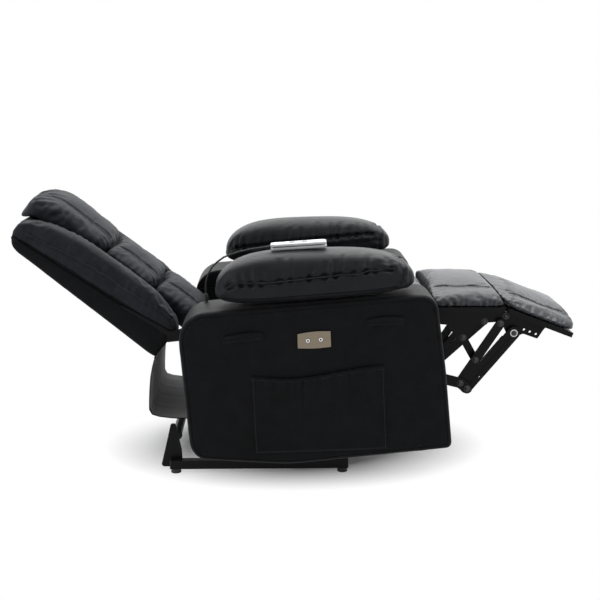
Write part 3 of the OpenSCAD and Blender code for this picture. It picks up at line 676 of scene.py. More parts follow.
def surface_path(o, path, step=0.006, sink=0.0, reach=0.08):
    """Follows a polyline closely over a piece's surface; returns points and normals."""
    tree = BVHTree.FromPolygons([v.co for v in o.data.vertices], [p.vertices for p in o.data.polygons])
    points, normals = [], []
    for a, b in zip(path[:-1], path[1:]):
        a, b = Vector(a), Vector(b)
        count = max(1, int((b - a).length / step))
        for i in range(count):
            hit, normal, _, gap = tree.find_nearest(a.lerp(b, i / count))
            if hit is not None and gap < reach:
                points.append(hit - normal * sink)
                normals.append(normal)
    for _ in range(10):
        points = [points[0]] + [(points[i - 1] + points[i] * 2 + points[i + 1]) / 4
                                for i in range(1, len(points) - 1)] + [points[-1]]
    return points, normals


def round_curve(name, points, radius, resolution, closed=False):
    """A curve along points that is filled out to a round section."""
    curve = bpy.data.curves.new(name, "CURVE")
    curve.dimensions = "3D"
    curve.bevel_depth = radius
    curve.bevel_resolution = resolution
    curve.use_fill_caps = True
    line = curve.splines.new("POLY")
    line.points.add(len(points) - 1)
    for spot, p in zip(line.points, points):
        spot.co = (*p, 1)
    line.use_cyclic_u = closed
    o = bpy.data.objects.new(name, curve)
    bpy.context.scene.collection.objects.link(o)
    return o, curve


def tube(name, points, radius, sides, closed):
    """A round cord of cloth or steel along points, as a mesh."""
    o, curve = round_curve(name, points, radius, max(1, sides // 4 - 1), closed)
    mesh = bpy.data.meshes.new_from_object(o.evaluated_get(bpy.context.evaluated_depsgraph_get()))
    bpy.data.objects.remove(o)
    bpy.data.curves.remove(curve)
    mesh.shade_smooth()
    o = bpy.data.objects.new(name, mesh)
    bpy.context.scene.collection.objects.link(o)
    return o


def trim(name, points, radius, body, finish, sides=8, closed=False):
    o = tube(name, points, radius, sides, closed)
    return assign(o, finish, body)


def stitches(name, points, normals, body, pitch=0.0062, length=0.0042, radius=0.00065, offset=0.0):
    """A row of short sewn stitches that lie on a surface along points."""
    bm = bmesh.new()
    run, due = 0.0, pitch / 2
    for i in range(len(points) - 1):
        a, b = points[i], points[i + 1]
        span = (b - a).length
        while span > 1e-9 and due <= run + span:
            ahead = (b - a).normalized()
            up = normals[min(i, len(normals) - 1)].normalized()
            side = up.cross(ahead).normalized()
            at = a + ahead * (due - run) + side * offset + up * radius * 0.4
            turn = Matrix((ahead, side, up)).transposed().to_4x4()
            made = bmesh.ops.create_uvsphere(bm, u_segments=6, v_segments=4, radius=1)
            grow = Matrix.Diagonal((length / 2, radius, radius, 1))
            bmesh.ops.transform(bm, matrix=Matrix.Translation(at) @ turn @ grow, verts=made["verts"])
            due += pitch
        run += span
    o = add_mesh(name, bm)
    return assign(o, "thread", body)


def sewn_seam(o, line, name, body, place, tight=4, depth=0.0035, width=0.005, sink=0.0003, radius=0.0009,
              beside=0.0045):
    """Draws a seam in along a line over a piece, lays its cord in it and stitches it on one side."""
    points, _ = surface_path(o, line, 0.008, 0, 0.12)
    sew(o, points[::tight], depth, width)
    points, normals = surface_path(o, line, 0.006, sink, 0.12)
    trim(f"{name}_seam_{place}", points, radius, body, "thread", 6)
    stitches(f"{name}_stitches_{place}", points, normals, body, offset=beside)


# Pitch, length and radius of a stitch on the sides, and of a shorter one on hems and straps
SIDE_STITCH = (0.0058, 0.004, 0.0006)
HEM_STITCH = (0.0048, 0.0034, 0.0006)
STRAP_STITCH = (0.005, 0.0034, 0.0006)


def scatter(seed):
    """Steady pseudo-random numbers from 0 to 1."""
    state = seed * 7919 + 13
    while True:
        state = (state * 1103515245 + 12345) % 2147483648
        yield state / 2147483648


# ---------- armrests ----------

# Distance of an arm pad's middle from the chair's middle
ARM_Y = 0.33665


def panel_top(x):
    """Height of the side panel's sloping top edge."""
    return 0.486 + (x - MID + 0.368) * 50 / 618


def arm_seam(x):
    """Height of the seam along an arm pad's side."""
    return 0.5795 + 0.1116 * (x - MID + 0.057)


def arm_mould(q):
    x = world_x(0.002) + 0.266 * q.x
    t = (x - world_x(0.002)) / 0.274
    low = panel_top(x) + 0.002
    top = 0.504 + 0.148 * (0.62 + 0.38 * max(0, 1 - abs(t) ** 4) ** 0.6) + 0.007 * t - 0.0045
    middle = low + 0.44 * (top - low)
    z = middle + (top - middle) * q.z if q.z > 0 else middle + (middle - low) * q.z
    waist = 1 - 0.04 * math.cos(t * math.pi / 2)
    return Vector((x, -ARM_Y + 0.09 * q.y * waist, z))


def arm_pinned(co):
    flat = co[:, 2] < panel_top(co[:, 0]) + 0.012
    seam = np.abs(co[:, 2] - arm_seam(co[:, 0])) < SEAM_HOLD
    side = np.abs(np.abs(co[:, 1] + ARM_Y) - 0.08) < 0.03
    ends = np.abs(co[:, 0] - world_x(0.236)) < SEAM_HOLD
    return flat | (seam & side) | (ends & (co[:, 2] < 0.61))


def finish_arm(o, sign):
    side = "right" if sign > 0 else "left"
    xs = [world_x(-0.26 + 0.5 * i / 12) for i in range(13)]
    rows = []
    for out in (1, -1):
        line = [(x, -sign * (ARM_Y + out * 0.1), arm_seam(x)) for x in xs]
        points, _ = surface_path(o, line, 0.006, 0, 0.06)
        rows.append((out, points))
        sew(o, points[::4], 0.0055, 0.006)
    folds = []
    roll = scatter(5)
    for out, points in rows:
        at, count = 3, len(points)
        while at < count - 3:
            p = points[at]
            t = at / count
            strong = 0.45 + 0.75 * t + 0.35 * next(roll)
            rise = 0.028 + 0.07 * next(roll) * strong
            lean = (next(roll) - 0.42) * 0.022 + 0.012 * t
            tip = (p[0] + lean, -sign * (ARM_Y + out * (0.098 - 0.35 * rise)), p[2] + rise)
            folds.append((p, tip, 0.003 + 0.0045 * next(roll) * strong, 0.0048 + 0.004 * next(roll)))
            if next(roll) > 0.3:
                drop = 0.01 + 0.028 * next(roll)
                folds.append((p, (p[0] - lean * 0.4, p[1], p[2] - drop), 0.0012 + 0.001 * next(roll), 0.005))
            at += 2 + int(4.5 * next(roll) + (0 if t > 0.5 else 1.5))
    # The front end cap: a seam round it, and folds drawn in to it
    cap = []
    for k in range(15):
        g = math.pi * (0.02 + 0.96 * k / 14)
        cap.append((world_x(0.238) + 0.006 * math.sin(g), -sign * (ARM_Y + 0.094 * math.cos(g)),
                    0.53 + 0.115 * math.sin(g) ** 0.6))
    points, _ = surface_path(o, cap, 0.006, 0, 0.06)
    sew(o, points[::3], 0.0035, 0.005)
    for k in range(2, len(points) - 2, 3):
        p = points[k]
        tip = (p[0] - 0.02 - 0.03 * next(roll), p[1] * (1 - 0.015 * next(roll)), p[2] + 0.012)
        folds.append((p, tip, 0.0022, 0.006))
    for k in range(9):
        y = -sign * (ARM_Y - 0.08 + 0.16 * k / 8)
        folds.append(((world_x(-0.272), y, 0.55), (world_x(-0.225), y, 0.60 + 0.02 * next(roll)), 0.0025, 0.0075))
        folds.append(((world_x(0.274), y, 0.545), (world_x(0.268), y * 1.01, 0.60), 0.002, 0.007))
    outer = [(x, -sign * (ARM_Y + 0.1), arm_seam(x)) for x in xs]
    points, _ = surface_path(o, outer, 0.006, 0.0006, 0.06)
    trim(f"arm_seam_{side}", points, 0.0009, "seat_unit", "thread", 6)
    crease(o, folds)
    low = [(x, -sign * (ARM_Y + 0.1), panel_top(x) + 0.012) for x in xs]
    for name, line, radius, finish, sides in (("welt", low, 0.0023, "leather", 8),
                                              ("cap_seam", cap, 0.0012, "thread", 6)):
        points, _ = surface_path(o, line, 0.006, 0.0004, 0.06)
        trim(f"arm_{name}_{side}", points, radius, "seat_unit", finish, sides)


class RECLINER_OT_arm_pads(bpy.types.Operator):
    """Shapes the two pillow-topped arm pads"""

    bl_idname = "recliner.arm_pads"
    bl_label = "Arm pads"

    def execute(self, context):
        for sign, node in ((1, "arm_pad_right"), (-1, "arm_pad_left")):
            flip = Matrix.Diagonal((1, sign, 1, 1))
            o = rounded_block(f"{node}_leather", flip, arm_mould, 3.6, 21)
            pad(o, "seat_unit", [node], "arm", flip, arm_pinned, lambda o, s=sign: finish_arm(o, s), 0.02,
                loose=0.0)
        return {"FINISHED"}


# ---------- back: shell, bolsters and pillows ----------


# Back shapes use s, the distance up from the foot edge, and n, the distance out from the rear face


def back_point(s, y, n):
    return BACK @ Vector((-s, y, n))


def piping_line(s):
    return 0.0805 - 0.1 * s


def boxing_line(s):
    return 0.122 - 0.02 * s - 0.22 * s * s


def bolster_top(s):
    return float(np.interp(s, (0, 0.02, 0.12, 0.22, 0.37, 0.45, 0.50, 0.53),
                           (0.112, 0.13, 0.15, 0.147, 0.14, 0.122, 0.1, 0.076)))


def shell_mould(q):
    s = 0.2625 - 0.2625 * q.x
    lift = 0.04 * (1 - math.sqrt(max(0, 1 - max(0, (s - 0.484) / 0.0415) ** 2)))
    high = 0.088 - 0.012 * max(0, (s - 0.46) / 0.065)
    n = lift + 0.001 + (high - lift) * (0.5 + 0.5 * q.z)
    tuck = 1 - 0.09 * min(1, max(0, (n - piping_line(s) + 0.002) / 0.004))
    return Vector((-s, 0.2368 * q.y * tuck, n))


def shell_pinned(co):
    s = -co[:, 0]
    edge = (np.abs(co[:, 2] - piping_line(s)) < 0.004) & (np.abs(co[:, 1]) > 0.2)
    middle = (np.abs(co[:, 1]) < 0.005) & (co[:, 2] < 0.02)
    return edge | (co[:, 2] > 0.082) | middle | (s < 0.012)


def finish_shell(o):
    roll = scatter(41)
    folds = []
    for k in range(9):
        y = -0.2 + 0.05 * k + 0.01 * next(roll)
        folds.append((back_point(0.53, y, 0.06), back_point(0.49, y + 0.01, 0.005), 0.0015, 0.007))
    for side in (-1, 1):
        for k in range(7):
            s = 0.03 + 0.07 * k + 0.02 * next(roll)
            tip = back_point(s + 0.02 * (next(roll) - 0.5), side * 0.24, piping_line(s) - 0.04)
            folds.append((back_point(s, side * 0.24, piping_line(s)), tip, 0.001, 0.007))
    crease(o, folds)
    line = [back_point(s, 0, -0.02) for s in (0.01, 0.15, 0.3, 0.42, 0.5)]
    points, _ = surface_path(o, line, 0.008, 0.0003, 0.06)
    sew(o, points[::4], 0.002, 0.005)
    points, normals = surface_path(o, line, 0.008, 0.0003, 0.06)
    trim("back_centre_seam", points, 0.0009, "back", "thread", 6)
    stitches("back_centre_stitches_a", points, normals, "back", offset=0.005)
    stitches("back_centre_stitches_b", points, normals, "back", offset=-0.005)


def bolster_mould(q):
    s = 0.2605 - 0.2645 * q.x
    low = piping_line(s) - 0.004 + 0.012 * (0.5 - 0.5 * q.y)
    high = bolster_top(s) - 0.008
    return Vector((-s, -(0.1965 + 0.0345 * q.y), low + (high - low) * (0.5 + 0.5 * q.z)))


def bolster_pinned(co):
    s = -co[:, 0]
    low = co[:, 2] < piping_line(s) + 0.003
    boxing = (np.abs(co[:, 2] - boxing_line(s)) < SEAM_HOLD) & (np.abs(co[:, 1]) > 0.215)
    return low | boxing


def finish_bolster(o, sign):
    word = "right" if sign > 0 else "left"
    roll = scatter(23)
    rows = {}
    for label, height, first, last in (("piping", piping_line, 0.004, 0.5), ("boxing", boxing_line, 0.012, 0.5)):
        spots = [first + (last - first) * i / 16 for i in range(17)]
        line = [back_point(s, -sign * 0.2385, height(s)) for s in spots]
        points, _ = surface_path(o, line, 0.006, 0, 0.05)
        sew(o, points[::4], 0.0028, 0.005)
        rows[label] = line
    folds = []
    for k in range(24):
        s = 0.03 + 0.46 * k / 23 + (next(roll) - 0.5) * 0.016
        lean = (next(roll) - 0.5) * 0.03
        rise = 0.015 + 0.025 * next(roll)
        foot = back_point(s, -sign * 0.238, boxing_line(s))
        tip = back_point(s + lean, -sign * (0.236 - 0.3 * rise), boxing_line(s) + rise)
        if next(roll) > 0.35:
            folds.append((foot, tip, 0.001 + 0.0016 * next(roll), 0.0055))
        inn = back_point(s + 0.01, -sign * 0.158, 0.125)
        tip = back_point(s + 0.01 - lean, -sign * 0.185, 0.155)
        folds.append((inn, tip, 0.0012 + 0.002 * next(roll), 0.0055))
    for s, y, depth in ((0.15, 0.21, 0.0028), (0.08, 0.224, 0.003), (0.045, 0.215, 0.0035), (0.5, 0.2, 0.003),
                        (0.49, 0.225, 0.003)):
        way = 0.035 if s < 0.3 else -0.03
        tip = back_point(s + way, -sign * (y - 0.02), bolster_top(s) + 0.01)
        folds.append((back_point(s, -sign * y, bolster_top(s)), tip, depth, 0.0065))
    crease(o, folds)
    points, _ = surface_path(o, rows["piping"], 0.006, -0.0002, 0.05)
    trim(f"back_piping_{word}", points, bpy.context.scene.recliner_sizes.piping, "back", "leather", 8)
    points, normals = surface_path(o, rows["boxing"], 0.006, 0.0003, 0.05)
    trim(f"back_boxing_seam_{word}", points, 0.0008, "back", "thread", 6)
    stitches(f"back_boxing_stitches_{word}", points, normals, "back", offset=0.004 * sign)


PILLOWS = {
    # node: foot edge and head edge at the middle, then crest and base
    "head_pillow": (0.281, 0.557, 0.188, 0.09),
    "middle_pillow": (0.107, 0.283, 0.186, 0.09),
    "lumbar_pillow": (-0.045, 0.109, 0.19, 0.092),
}
PILLOW_SEAM = 0.088
PILLOW_HALF = 0.15


def edge_bow(y):
    """The crease between two pillows bows towards the seat in its middle."""
    return 0.018 * (y / PILLOW_HALF) ** 2


def pillow_mould(node):
    foot, head, crest, base = PILLOWS[node]
    tall = node == "head_pillow"

    def mould(q):
        y = 0.1495 * q.y
        s0 = foot + 0.006 + (edge_bow(y) if node != "lumbar_pillow" else 0)
        s1 = head - 0.005 + (edge_bow(y) if not tall else -0.006 * (y / PILLOW_HALF) ** 2)
        s = (s0 + s1) / 2 - (s1 - s0) / 2 * q.x
        top = (crest - 0.016) * (1 - 0.1 * (y / PILLOW_HALF) ** 2)
        low = base
        if tall:
            past = max(0, (s - 0.44) / 0.1)
            top -= 0.03 * past ** 2.2
            low -= 0.038 * max(0, (s - 0.5) / 0.04) ** 1.5 if s < 0.54 else 0.038
        return Vector((-s, y, low + (top - low) * (0.5 + 0.5 * q.z)))
    return mould


def pillow_pinned(base):
    def hold(co):
        floor = co[:, 2] < base + 0.006
        seam = (np.abs(np.abs(co[:, 1]) - PILLOW_SEAM) < SEAM_HOLD) & (co[:, 2] > base + 0.045)
        return floor | seam
    return hold


def finish_pillow(o, node):
    foot, head, crest, base = PILLOWS[node]
    roll = scatter(len(node) * 3 + 2)
    for side in (-1, 1):
        spots = [foot + 0.004 + (head - foot) * i / 10 for i in range(11)]
        line = [back_point(s, side * PILLOW_SEAM, crest + 0.02) for s in spots]
        sewn_seam(o, line, node, "back", "right" if side < 0 else "left", 3, 0.0026, 0.0048, 0.0002, 0.0008, 0.0042)
    folds = []
    for edge, way in ((foot, 1), (head, -1)):
        if edge == head and node == "head_pillow":
            continue
        for k in range(20):
            y = -0.145 + 0.29 * k / 19 + (next(roll) - 0.5) * 0.01
            at = edge + edge_bow(y)
            low = back_point(at, y, crest - 0.035)
            tip = back_point(at + way * (0.02 + 0.03 * next(roll)), y + (next(roll) - 0.5) * 0.012, crest - 0.002)
            folds.append((low, tip, 0.0008 + 0.0016 * next(roll), 0.0052))
    for side in (-1, 1):
        for k in range(int((head - foot) / 0.024)):
            s = foot + 0.014 + 0.024 * k + (next(roll) - 0.5) * 0.012
            low = back_point(s, side * 0.16, crest - 0.055)
            reach = 0.02 + 0.03 * next(roll)
            tip = back_point(s + (next(roll) - 0.5) * 0.02, side * (0.155 - reach), crest - 0.012)
            folds.append((low, tip, 0.001 + 0.0022 * next(roll), 0.0058))
    if node == "head_pillow":
        for side in (-1, 1):
            for s, way, y in ((0.535, -0.05, 0.12), (0.53, -0.06, 0.06), (0.52, -0.045, 0.152), (0.47, -0.035, 0.155),
                              (0.535, -0.05, 0.015)):
                tip = back_point(s + way, side * (y - 0.01), 0.182)
                folds.append((back_point(s, side * y, 0.125), tip, 0.0035, 0.0075))
    crease(o, folds)


class RECLINER_OT_back(bpy.types.Operator):
    """Shapes the back shell, its two bolsters and three pillows"""

    bl_idname = "recliner.back"
    bl_label = "Back"

    def execute(self, context):
        o = rounded_block("back_shell_leather", BACK, shell_mould, 60.0, 25)
        pad(o, "back", ["back_shell"], "leather", BACK, shell_pinned, finish_shell, 0.0018, 0.8, 0.0075, 0.0)
        for sign, node in ((1, "bolster_right"), (-1, "bolster_left")):
            place = BACK @ Matrix.Diagonal((1, sign, 1, 1))
            o = rounded_block(f"{node}_leather", place, bolster_mould, 9.0, 21)
            pad(o, "back", [node], "pillow", place, bolster_pinned, lambda o, s=sign: finish_bolster(o, s), 0.012)
        for node, (foot, head, crest, base) in PILLOWS.items():
            o = rounded_block(f"{node}_leather", BACK, pillow_mould(node), 6.5, 19)
            pad(o, "back", [node], "pillow", BACK, pillow_pinned(base), lambda o, n=node: finish_pillow(o, n), 0.02)
        return {"FINISHED"}


# ---------- seat ----------

SEAT_SEAM = 0.14
SEAT_FRONT_SEAM = 0.27


def seat_mould(q):
    x = world_x(0.0525) + 0.275 * q.x
    top = 0.510 + 0.004 * (1 - q.x * q.x)
    low = 0.4455
    return Vector((x, 0.222 * q.y, low + (top - low) * (0.5 + 0.5 * q.z)))


def seat_pinned(co):
    sides = np.abs(np.abs(co[:, 1]) - SEAT_SEAM) < SEAM_HOLD
    front = np.abs(co[:, 0] - world_x(SEAT_FRONT_SEAM)) < SEAM_HOLD
    return (co[:, 2] < 0.451) | ((sides | front) & (co[:, 2] > 0.49))


def finish_seat(o):
    lines = [[(world_x(x), side * SEAT_SEAM, 0.54) for x in (-0.215, -0.1, 0.02, 0.14, 0.265)] for side in (-1, 1)]
    lines.append([(world_x(SEAT_FRONT_SEAM), y, 0.54) for y in (-0.215, -0.1, 0, 0.1, 0.215)])
    for k, line in enumerate(lines):
        sewn_seam(o, line, "seat", "seat_unit", k)
    roll = scatter(67)
    folds = []
    for side in (-1, 1):
        for k in range(26):
            x = world_x(-0.21 + 0.52 * k / 25 + (next(roll) - 0.5) * 0.01)
            tip = (x + (next(roll) - 0.5) * 0.02, side * (0.205 - 0.03 * next(roll)), 0.527)
            folds.append(((x, side * 0.231, 0.48), tip, 0.0012 + 0.0016 * next(roll), 0.0055))
    for end, way in ((-0.228, 1), (0.333, -1)):
        for k in range(22):
            y = -0.21 + 0.42 * k / 21
            folds.append(((world_x(end), y, 0.48), (world_x(end + way * (0.02 + 0.03 * next(roll))), y, 0.525),
                          0.0018, 0.0058))
    crease(o, folds)


class RECLINER_OT_seat(bpy.types.Operator):
    """Shapes the seat cushion"""

    bl_idname = "recliner.seat"
    bl_label = "Seat cushion"

    def execute(self, context):
        o = rounded_block("seat_cushion_leather", UP, seat_mould, 7.0, 23)
        pad(o, "seat_unit", ["seat_cushion"], "pad", UP, seat_pinned, finish_seat, 0.022, 0.6, 0.007)
        return {"FINISHED"}


# ---------- leg rest pads ----------

LEG_SEAM = 0.145
LEG_HALF = 0.2245
# Heights where the pads start, and how far their facing ends lean for each metre of height
CALF_BASE, CALF_FRONT, CALF_LEAN = 0.4665, 0.55, 0.72
FOOT_BASE, FOOT_REAR, FOOT_LEAN = 0.0095, -0.004, 1.25


def dome(across, edge=0.24):
    """Height of a pad's crown over its width, from 1 in the middle to edge at the sides."""
    return edge + (1 - edge) * (1 - min(1, abs(across)) ** 2.3) ** 0.5


def calf_mould(q):
    t = 0.5 + 0.5 * q.z
    high = 0.046 * dome(q.y) * t
    rear, front = world_x(0.340), world_x(CALF_FRONT) - CALF_LEAN * high
    x = rear + (front - rear) * (0.5 + 0.5 * q.x)
    return Vector((x, LEG_HALF * q.y, CALF_BASE + high))


def calf_pinned(co):
    front = co[:, 0] > world_x(CALF_FRONT) - CALF_LEAN * (co[:, 2] - CALF_BASE) - 0.006
    seam = (np.abs(np.abs(co[:, 1]) - LEG_SEAM) < 0.003) & (co[:, 2] > 0.485)
    return (co[:, 2] < 0.4715) | front | seam


def foot_mould(q):
    t = 0.5 + 0.5 * q.z
    high = 0.033 * dome(q.y) * t
    rear = FOOT_REAR - FOOT_LEAN * high
    x = rear + (0.206 - rear) * (0.5 + 0.5 * q.x)
    return Vector((x, LEG_HALF * q.y, FOOT_BASE + high))


def foot_pinned(co):
    rear = co[:, 0] < FOOT_REAR - FOOT_LEAN * (co[:, 2] - FOOT_BASE) + 0.008
    seam = (np.abs(np.abs(co[:, 1]) - LEG_SEAM) < 0.003) & (co[:, 2] > 0.025)
    return (co[:, 2] < 0.0145) | rear | seam


def finish_leg_pad(o, name, body, place, x0, x1, low, top, seed):
    roll = scatter(seed)
    for side, word in ((-1, "right"), (1, "left")):
        line = [place @ Vector((x0 + 0.004 + (x1 - x0 - 0.008) * i / 6, side * LEG_SEAM, top + 0.03))
                for i in range(7)]
        sewn_seam(o, line, name, body, word, 3, 0.0022, 0.0045, 0.0002, 0.0008, 0.0042)
    folds = []
    for side in (-1, 1):
        x = x0 + 0.008
        while x < x1 - 0.006:
            rise = (top - low) * (0.4 + 0.7 * next(roll))
            a = place @ Vector((x, side * 0.238, low + 0.006))
            b = place @ Vector((x + (next(roll) - 0.5) * 0.014, side * (0.226 - 0.02 * next(roll)), low + rise))
            folds.append((a, b, 0.0012 + 0.0026 * next(roll), 0.0042 + 0.002 * next(roll)))
            x += 0.007 + 0.011 * next(roll)
    for end, way in ((x0, 1), (x1, -1)):
        for k in range(24):
            y = -0.215 + 0.43 * k / 23 + (next(roll) - 0.5) * 0.008
            a = place @ Vector((end - way * 0.003, y, low + 0.02))
            b = place @ Vector((end + way * (0.014 + 0.03 * next(roll)), y + (next(roll) - 0.5) * 0.01, top + 0.006))
            folds.append((a, b, 0.0008 + 0.0014 * next(roll), 0.0052))
    crease(o, folds)


class RECLINER_OT_leg_pads(bpy.types.Operator):
    """Shapes the calf pad and the foot pad"""

    bl_idname = "recliner.leg_pads"
    bl_label = "Leg rest pads"

    def execute(self, context):
        for name, body, place, mould, pinned, power, swell, span in (
                ("calf", "leg_rest", UP, calf_mould, calf_pinned, 14.0, 0.017,
                 (world_x(0.346), world_x(0.547), 0.4645, 0.512, 83)),
                ("foot", "foot_rest", FOOT, foot_mould, foot_pinned, 9.0, 0.016,
                 (0.012, 0.204, 0.0075, 0.05, 97))):
            o = rounded_block(f"{name}_pad_leather", place, mould, power, 21)
            pad(o, body, [f"{name}_pad"], "pad", place, pinned,
                lambda o, given=(name, body, place, *span): finish_leg_pad(o, *given), swell)
        return {"FINISHED"}


class RECLINER_OT_fill(bpy.types.Operator):
    """Fills every pad and sews its seams"""

    bl_idname = "recliner.fill"
    bl_label = "Fill the pads"

    def execute(self, context):
        fill_pads(context)
        return {"FINISHED"}


# ---------- side panels ----------


def rounded(points, steps=8):
    """Rounds a polygon's corners; each point is (x, z, radius) in millimetres."""
    out = []
    n = len(points)
    for i in range(n):
        a, b, c = (Vector(points[(i + k) % n][:2]) for k in (-1, 0, 1))
        r = points[i][2]
        to_a, to_c = (a - b).normalized(), (c - b).normalized()
        half = to_a.angle(to_c) / 2
        if r <= 0 or half > math.pi / 2 - 0.01:
            out.append(b)
            continue
        reach = r / math.tan(half)
        middle = b + (to_a + to_c).normalized() * (r / math.sin(half))
        first, last = b + to_a * reach - middle, b + to_c * reach - middle
        sweep = first.angle_signed(last)
        for k in range(steps + 1):
            g = -sweep * k / steps
            out.append(middle + Vector((first.x * math.cos(g) - first.y * math.sin(g),
                                        first.x * math.sin(g) + first.y * math.cos(g))))
    return out


def resampled(points, count):
    """Even points round a closed outline."""
    lengths = [(points[(i + 1) % len(points)] - p).length for i, p in enumerate(points)]
    total, out, i, run = sum(lengths), [], 0, 0.0
    for k in range(count):
        want = total * k / count
        while run + lengths[i] < want:
            run += lengths[i]
            i += 1
        out.append(points[i].lerp(points[(i + 1) % len(points)], (want - run) / max(lengths[i], 1e-9)))
    return out


def skin(bm, rings):
    """Joins rings of equal count into a closed skin."""
    rows = [[bm.verts.new(p) for p in ring] for ring in rings]
    n = len(rows[0])
    for low, high in zip(rows[:-1], rows[1:]):
        for i in range(n):
            bm.faces.new((low[i], low[(i + 1) % n], high[(i + 1) % n], high[i]))
    bm.faces.new(list(reversed(rows[0])))
    bm.faces.new(rows[-1])
    bmesh.ops.recalc_face_normals(bm, faces=bm.faces)


# Corners of the panel's outline: x, z and radius in millimetres
PANEL = ((-368, 486, 78), (-334, 86, 52), (-70, 70, 500), (374, 114, 10), (352, 330, 300), (322, 538, 44),
         (250, 536, 60))
PANEL_Y = 0.42
PANEL_POINTS = 168
PANEL_SEAM = 12.4
# Depth in from the outline in millimetres, and |y|, from the inner face round the edge to the outer face
PANEL_RINGS = ((6, 0.2415), (1.5, 0.2428), (0, 0.247), (0, 0.28), (0, 0.32), (0, 0.36), (0, 0.395), (0, 0.4045),
               (0.6, 0.4095), (2.4, 0.4142), (5.5, 0.4177), (8.5, 0.419), (10.5, 0.4192), (11.6, 0.4178),
               (PANEL_SEAM, 0.4172), (13.2, 0.4178), (14.5, 0.4193), (17, 0.4198), (22, 0.42), (30, 0.4202))


def panel_line(depth):
    """The panel's outline drawn in by a depth in millimetres, with its corners kept round."""
    points = [Vector(p[:2]) for p in PANEL]
    n = len(points)
    moved = []
    for i in range(n):
        a, b, c = points[i - 1], points[i], points[(i + 1) % n]
        t, w = (b - a).normalized(), (c - b).normalized()
        m, k = Vector((-t.y, t.x)), Vector((-w.y, w.x))
        spot = b + (m + k) * (depth / (1 + m.dot(k)))
        moved.append((spot.x, spot.y, max(PANEL[i][2] - depth, 5)))
    line = resampled(rounded(moved, 10), PANEL_POINTS)
    first = min(range(PANEL_POINTS), key=lambda k: (line[k] - Vector(moved[0][:2])).length)
    return line[first:] + line[:first]


def panel_shape(sign):
    """Rings from the middle of the inner face, over the rounded edge, to the middle of the outer face."""
    middle = Vector((-10, 300))
    rings = []

    def ring(points, y):
        rings.append([side_point(p.x, -sign * y, p.y) for p in points])

    for k in range(9, 0, -1):
        ring([middle.lerp(p, 1 - k / 10) for p in panel_line(6)], 0.2415)
    for depth, y in PANEL_RINGS:
        ring(panel_line(depth), y)
    inner = panel_line(30)
    for k in range(1, 12):
        ring([middle.lerp(p, 1 - k / 12) for p in inner], 0.4202)
    bm = bmesh.new()
    skin(bm, rings)
    return bm


class RECLINER_OT_side_panels(bpy.types.Operator):
    """Covers the two side panels, with a seam inside their edges"""

    bl_idname = "recliner.side_panels"
    bl_label = "Side panels"

    def execute(self, context):
        for sign, word in ((1, "right"), (-1, "left")):
            o = add_mesh(f"side_panel_{word}_leather", panel_shape(sign))
            smoothed(o)
            co = points_of(o)
            outer = np.abs(co[:, 1]) > 0.415
            u, w = co[:, 0] - MID, co[:, 2]
            soft = (np.sin(u * 9.1 + 1.0) * np.sin(w * 12.3 + 0.4) + 0.6 * np.sin(u * 17.0 - w * 11.0 + 2.0)
                    + 0.4 * np.sin(u * 31.0 + w * 23.0))
            co[outer, 1] += -sign * soft[outer] * 0.00055
            put_points(o, co)
            roll = scatter(131)
            folds = []
            line = panel_line(0)
            deep, shallow = panel_line(45), panel_line(13)
            for k in range(0, PANEL_POINTS, 3):
                p, q = line[k], shallow[k].lerp(deep[k], 0.4 + 0.8 * next(roll))
                if next(roll) > 0.45 and (p.x > 240 or p.x < -300 or p.y > 500):
                    tip = side_point(q.x, -sign * PANEL_Y, q.y)
                    tip.x += (next(roll) - 0.5) * 0.02
                    folds.append((side_point(shallow[k].x, -sign * PANEL_Y, shallow[k].y), tip, 0.0018, 0.006))
            crease(o, folds)
            assign(o, "leather", "seat_unit", f"side_panel_{word}")
            points = [side_point(p.x, -sign * 0.4176, p.y) for p in panel_line(PANEL_SEAM)]
            points.append(points[0])
            stitches(f"panel_stitches_{word}", points, [Vector((0, -sign, 0))] * len(points), "seat_unit",
                     *SIDE_STITCH, 0.0042)
        return {"FINISHED"}


# ---------- pocket, straps and button plate ----------


def sheet_block(name, grid, thick):
    """A curved sheet of cloth from rows of (point, outward normal), closed round its edge."""
    bm = bmesh.new()
    rows, cols = len(grid), len(grid[0])
    front = [[bm.verts.new(p + n * thick / 2) for p, n in row] for row in grid]
    back = [[bm.verts.new(p - n * thick / 2) for p, n in row] for row in grid]
    for j in range(rows - 1):
        for i in range(cols - 1):
            bm.faces.new((front[j][i], front[j][i + 1], front[j + 1][i + 1], front[j + 1][i]))
            bm.faces.new((back[j][i], back[j + 1][i], back[j + 1][i + 1], back[j][i + 1]))
    rim = [(0, i) for i in range(cols)] + [(j, cols - 1) for j in range(1, rows)] + \
          [(rows - 1, i) for i in range(cols - 2, -1, -1)] + [(j, 0) for j in range(rows - 2, 0, -1)]
    for (a, b), (c, d) in zip(rim, rim[1:] + rim[:1]):
        bm.faces.new((front[a][b], back[a][b], back[c][d], front[c][d]))
    bmesh.ops.recalc_face_normals(bm, faces=bm.faces)
    return add_mesh(name, bm)


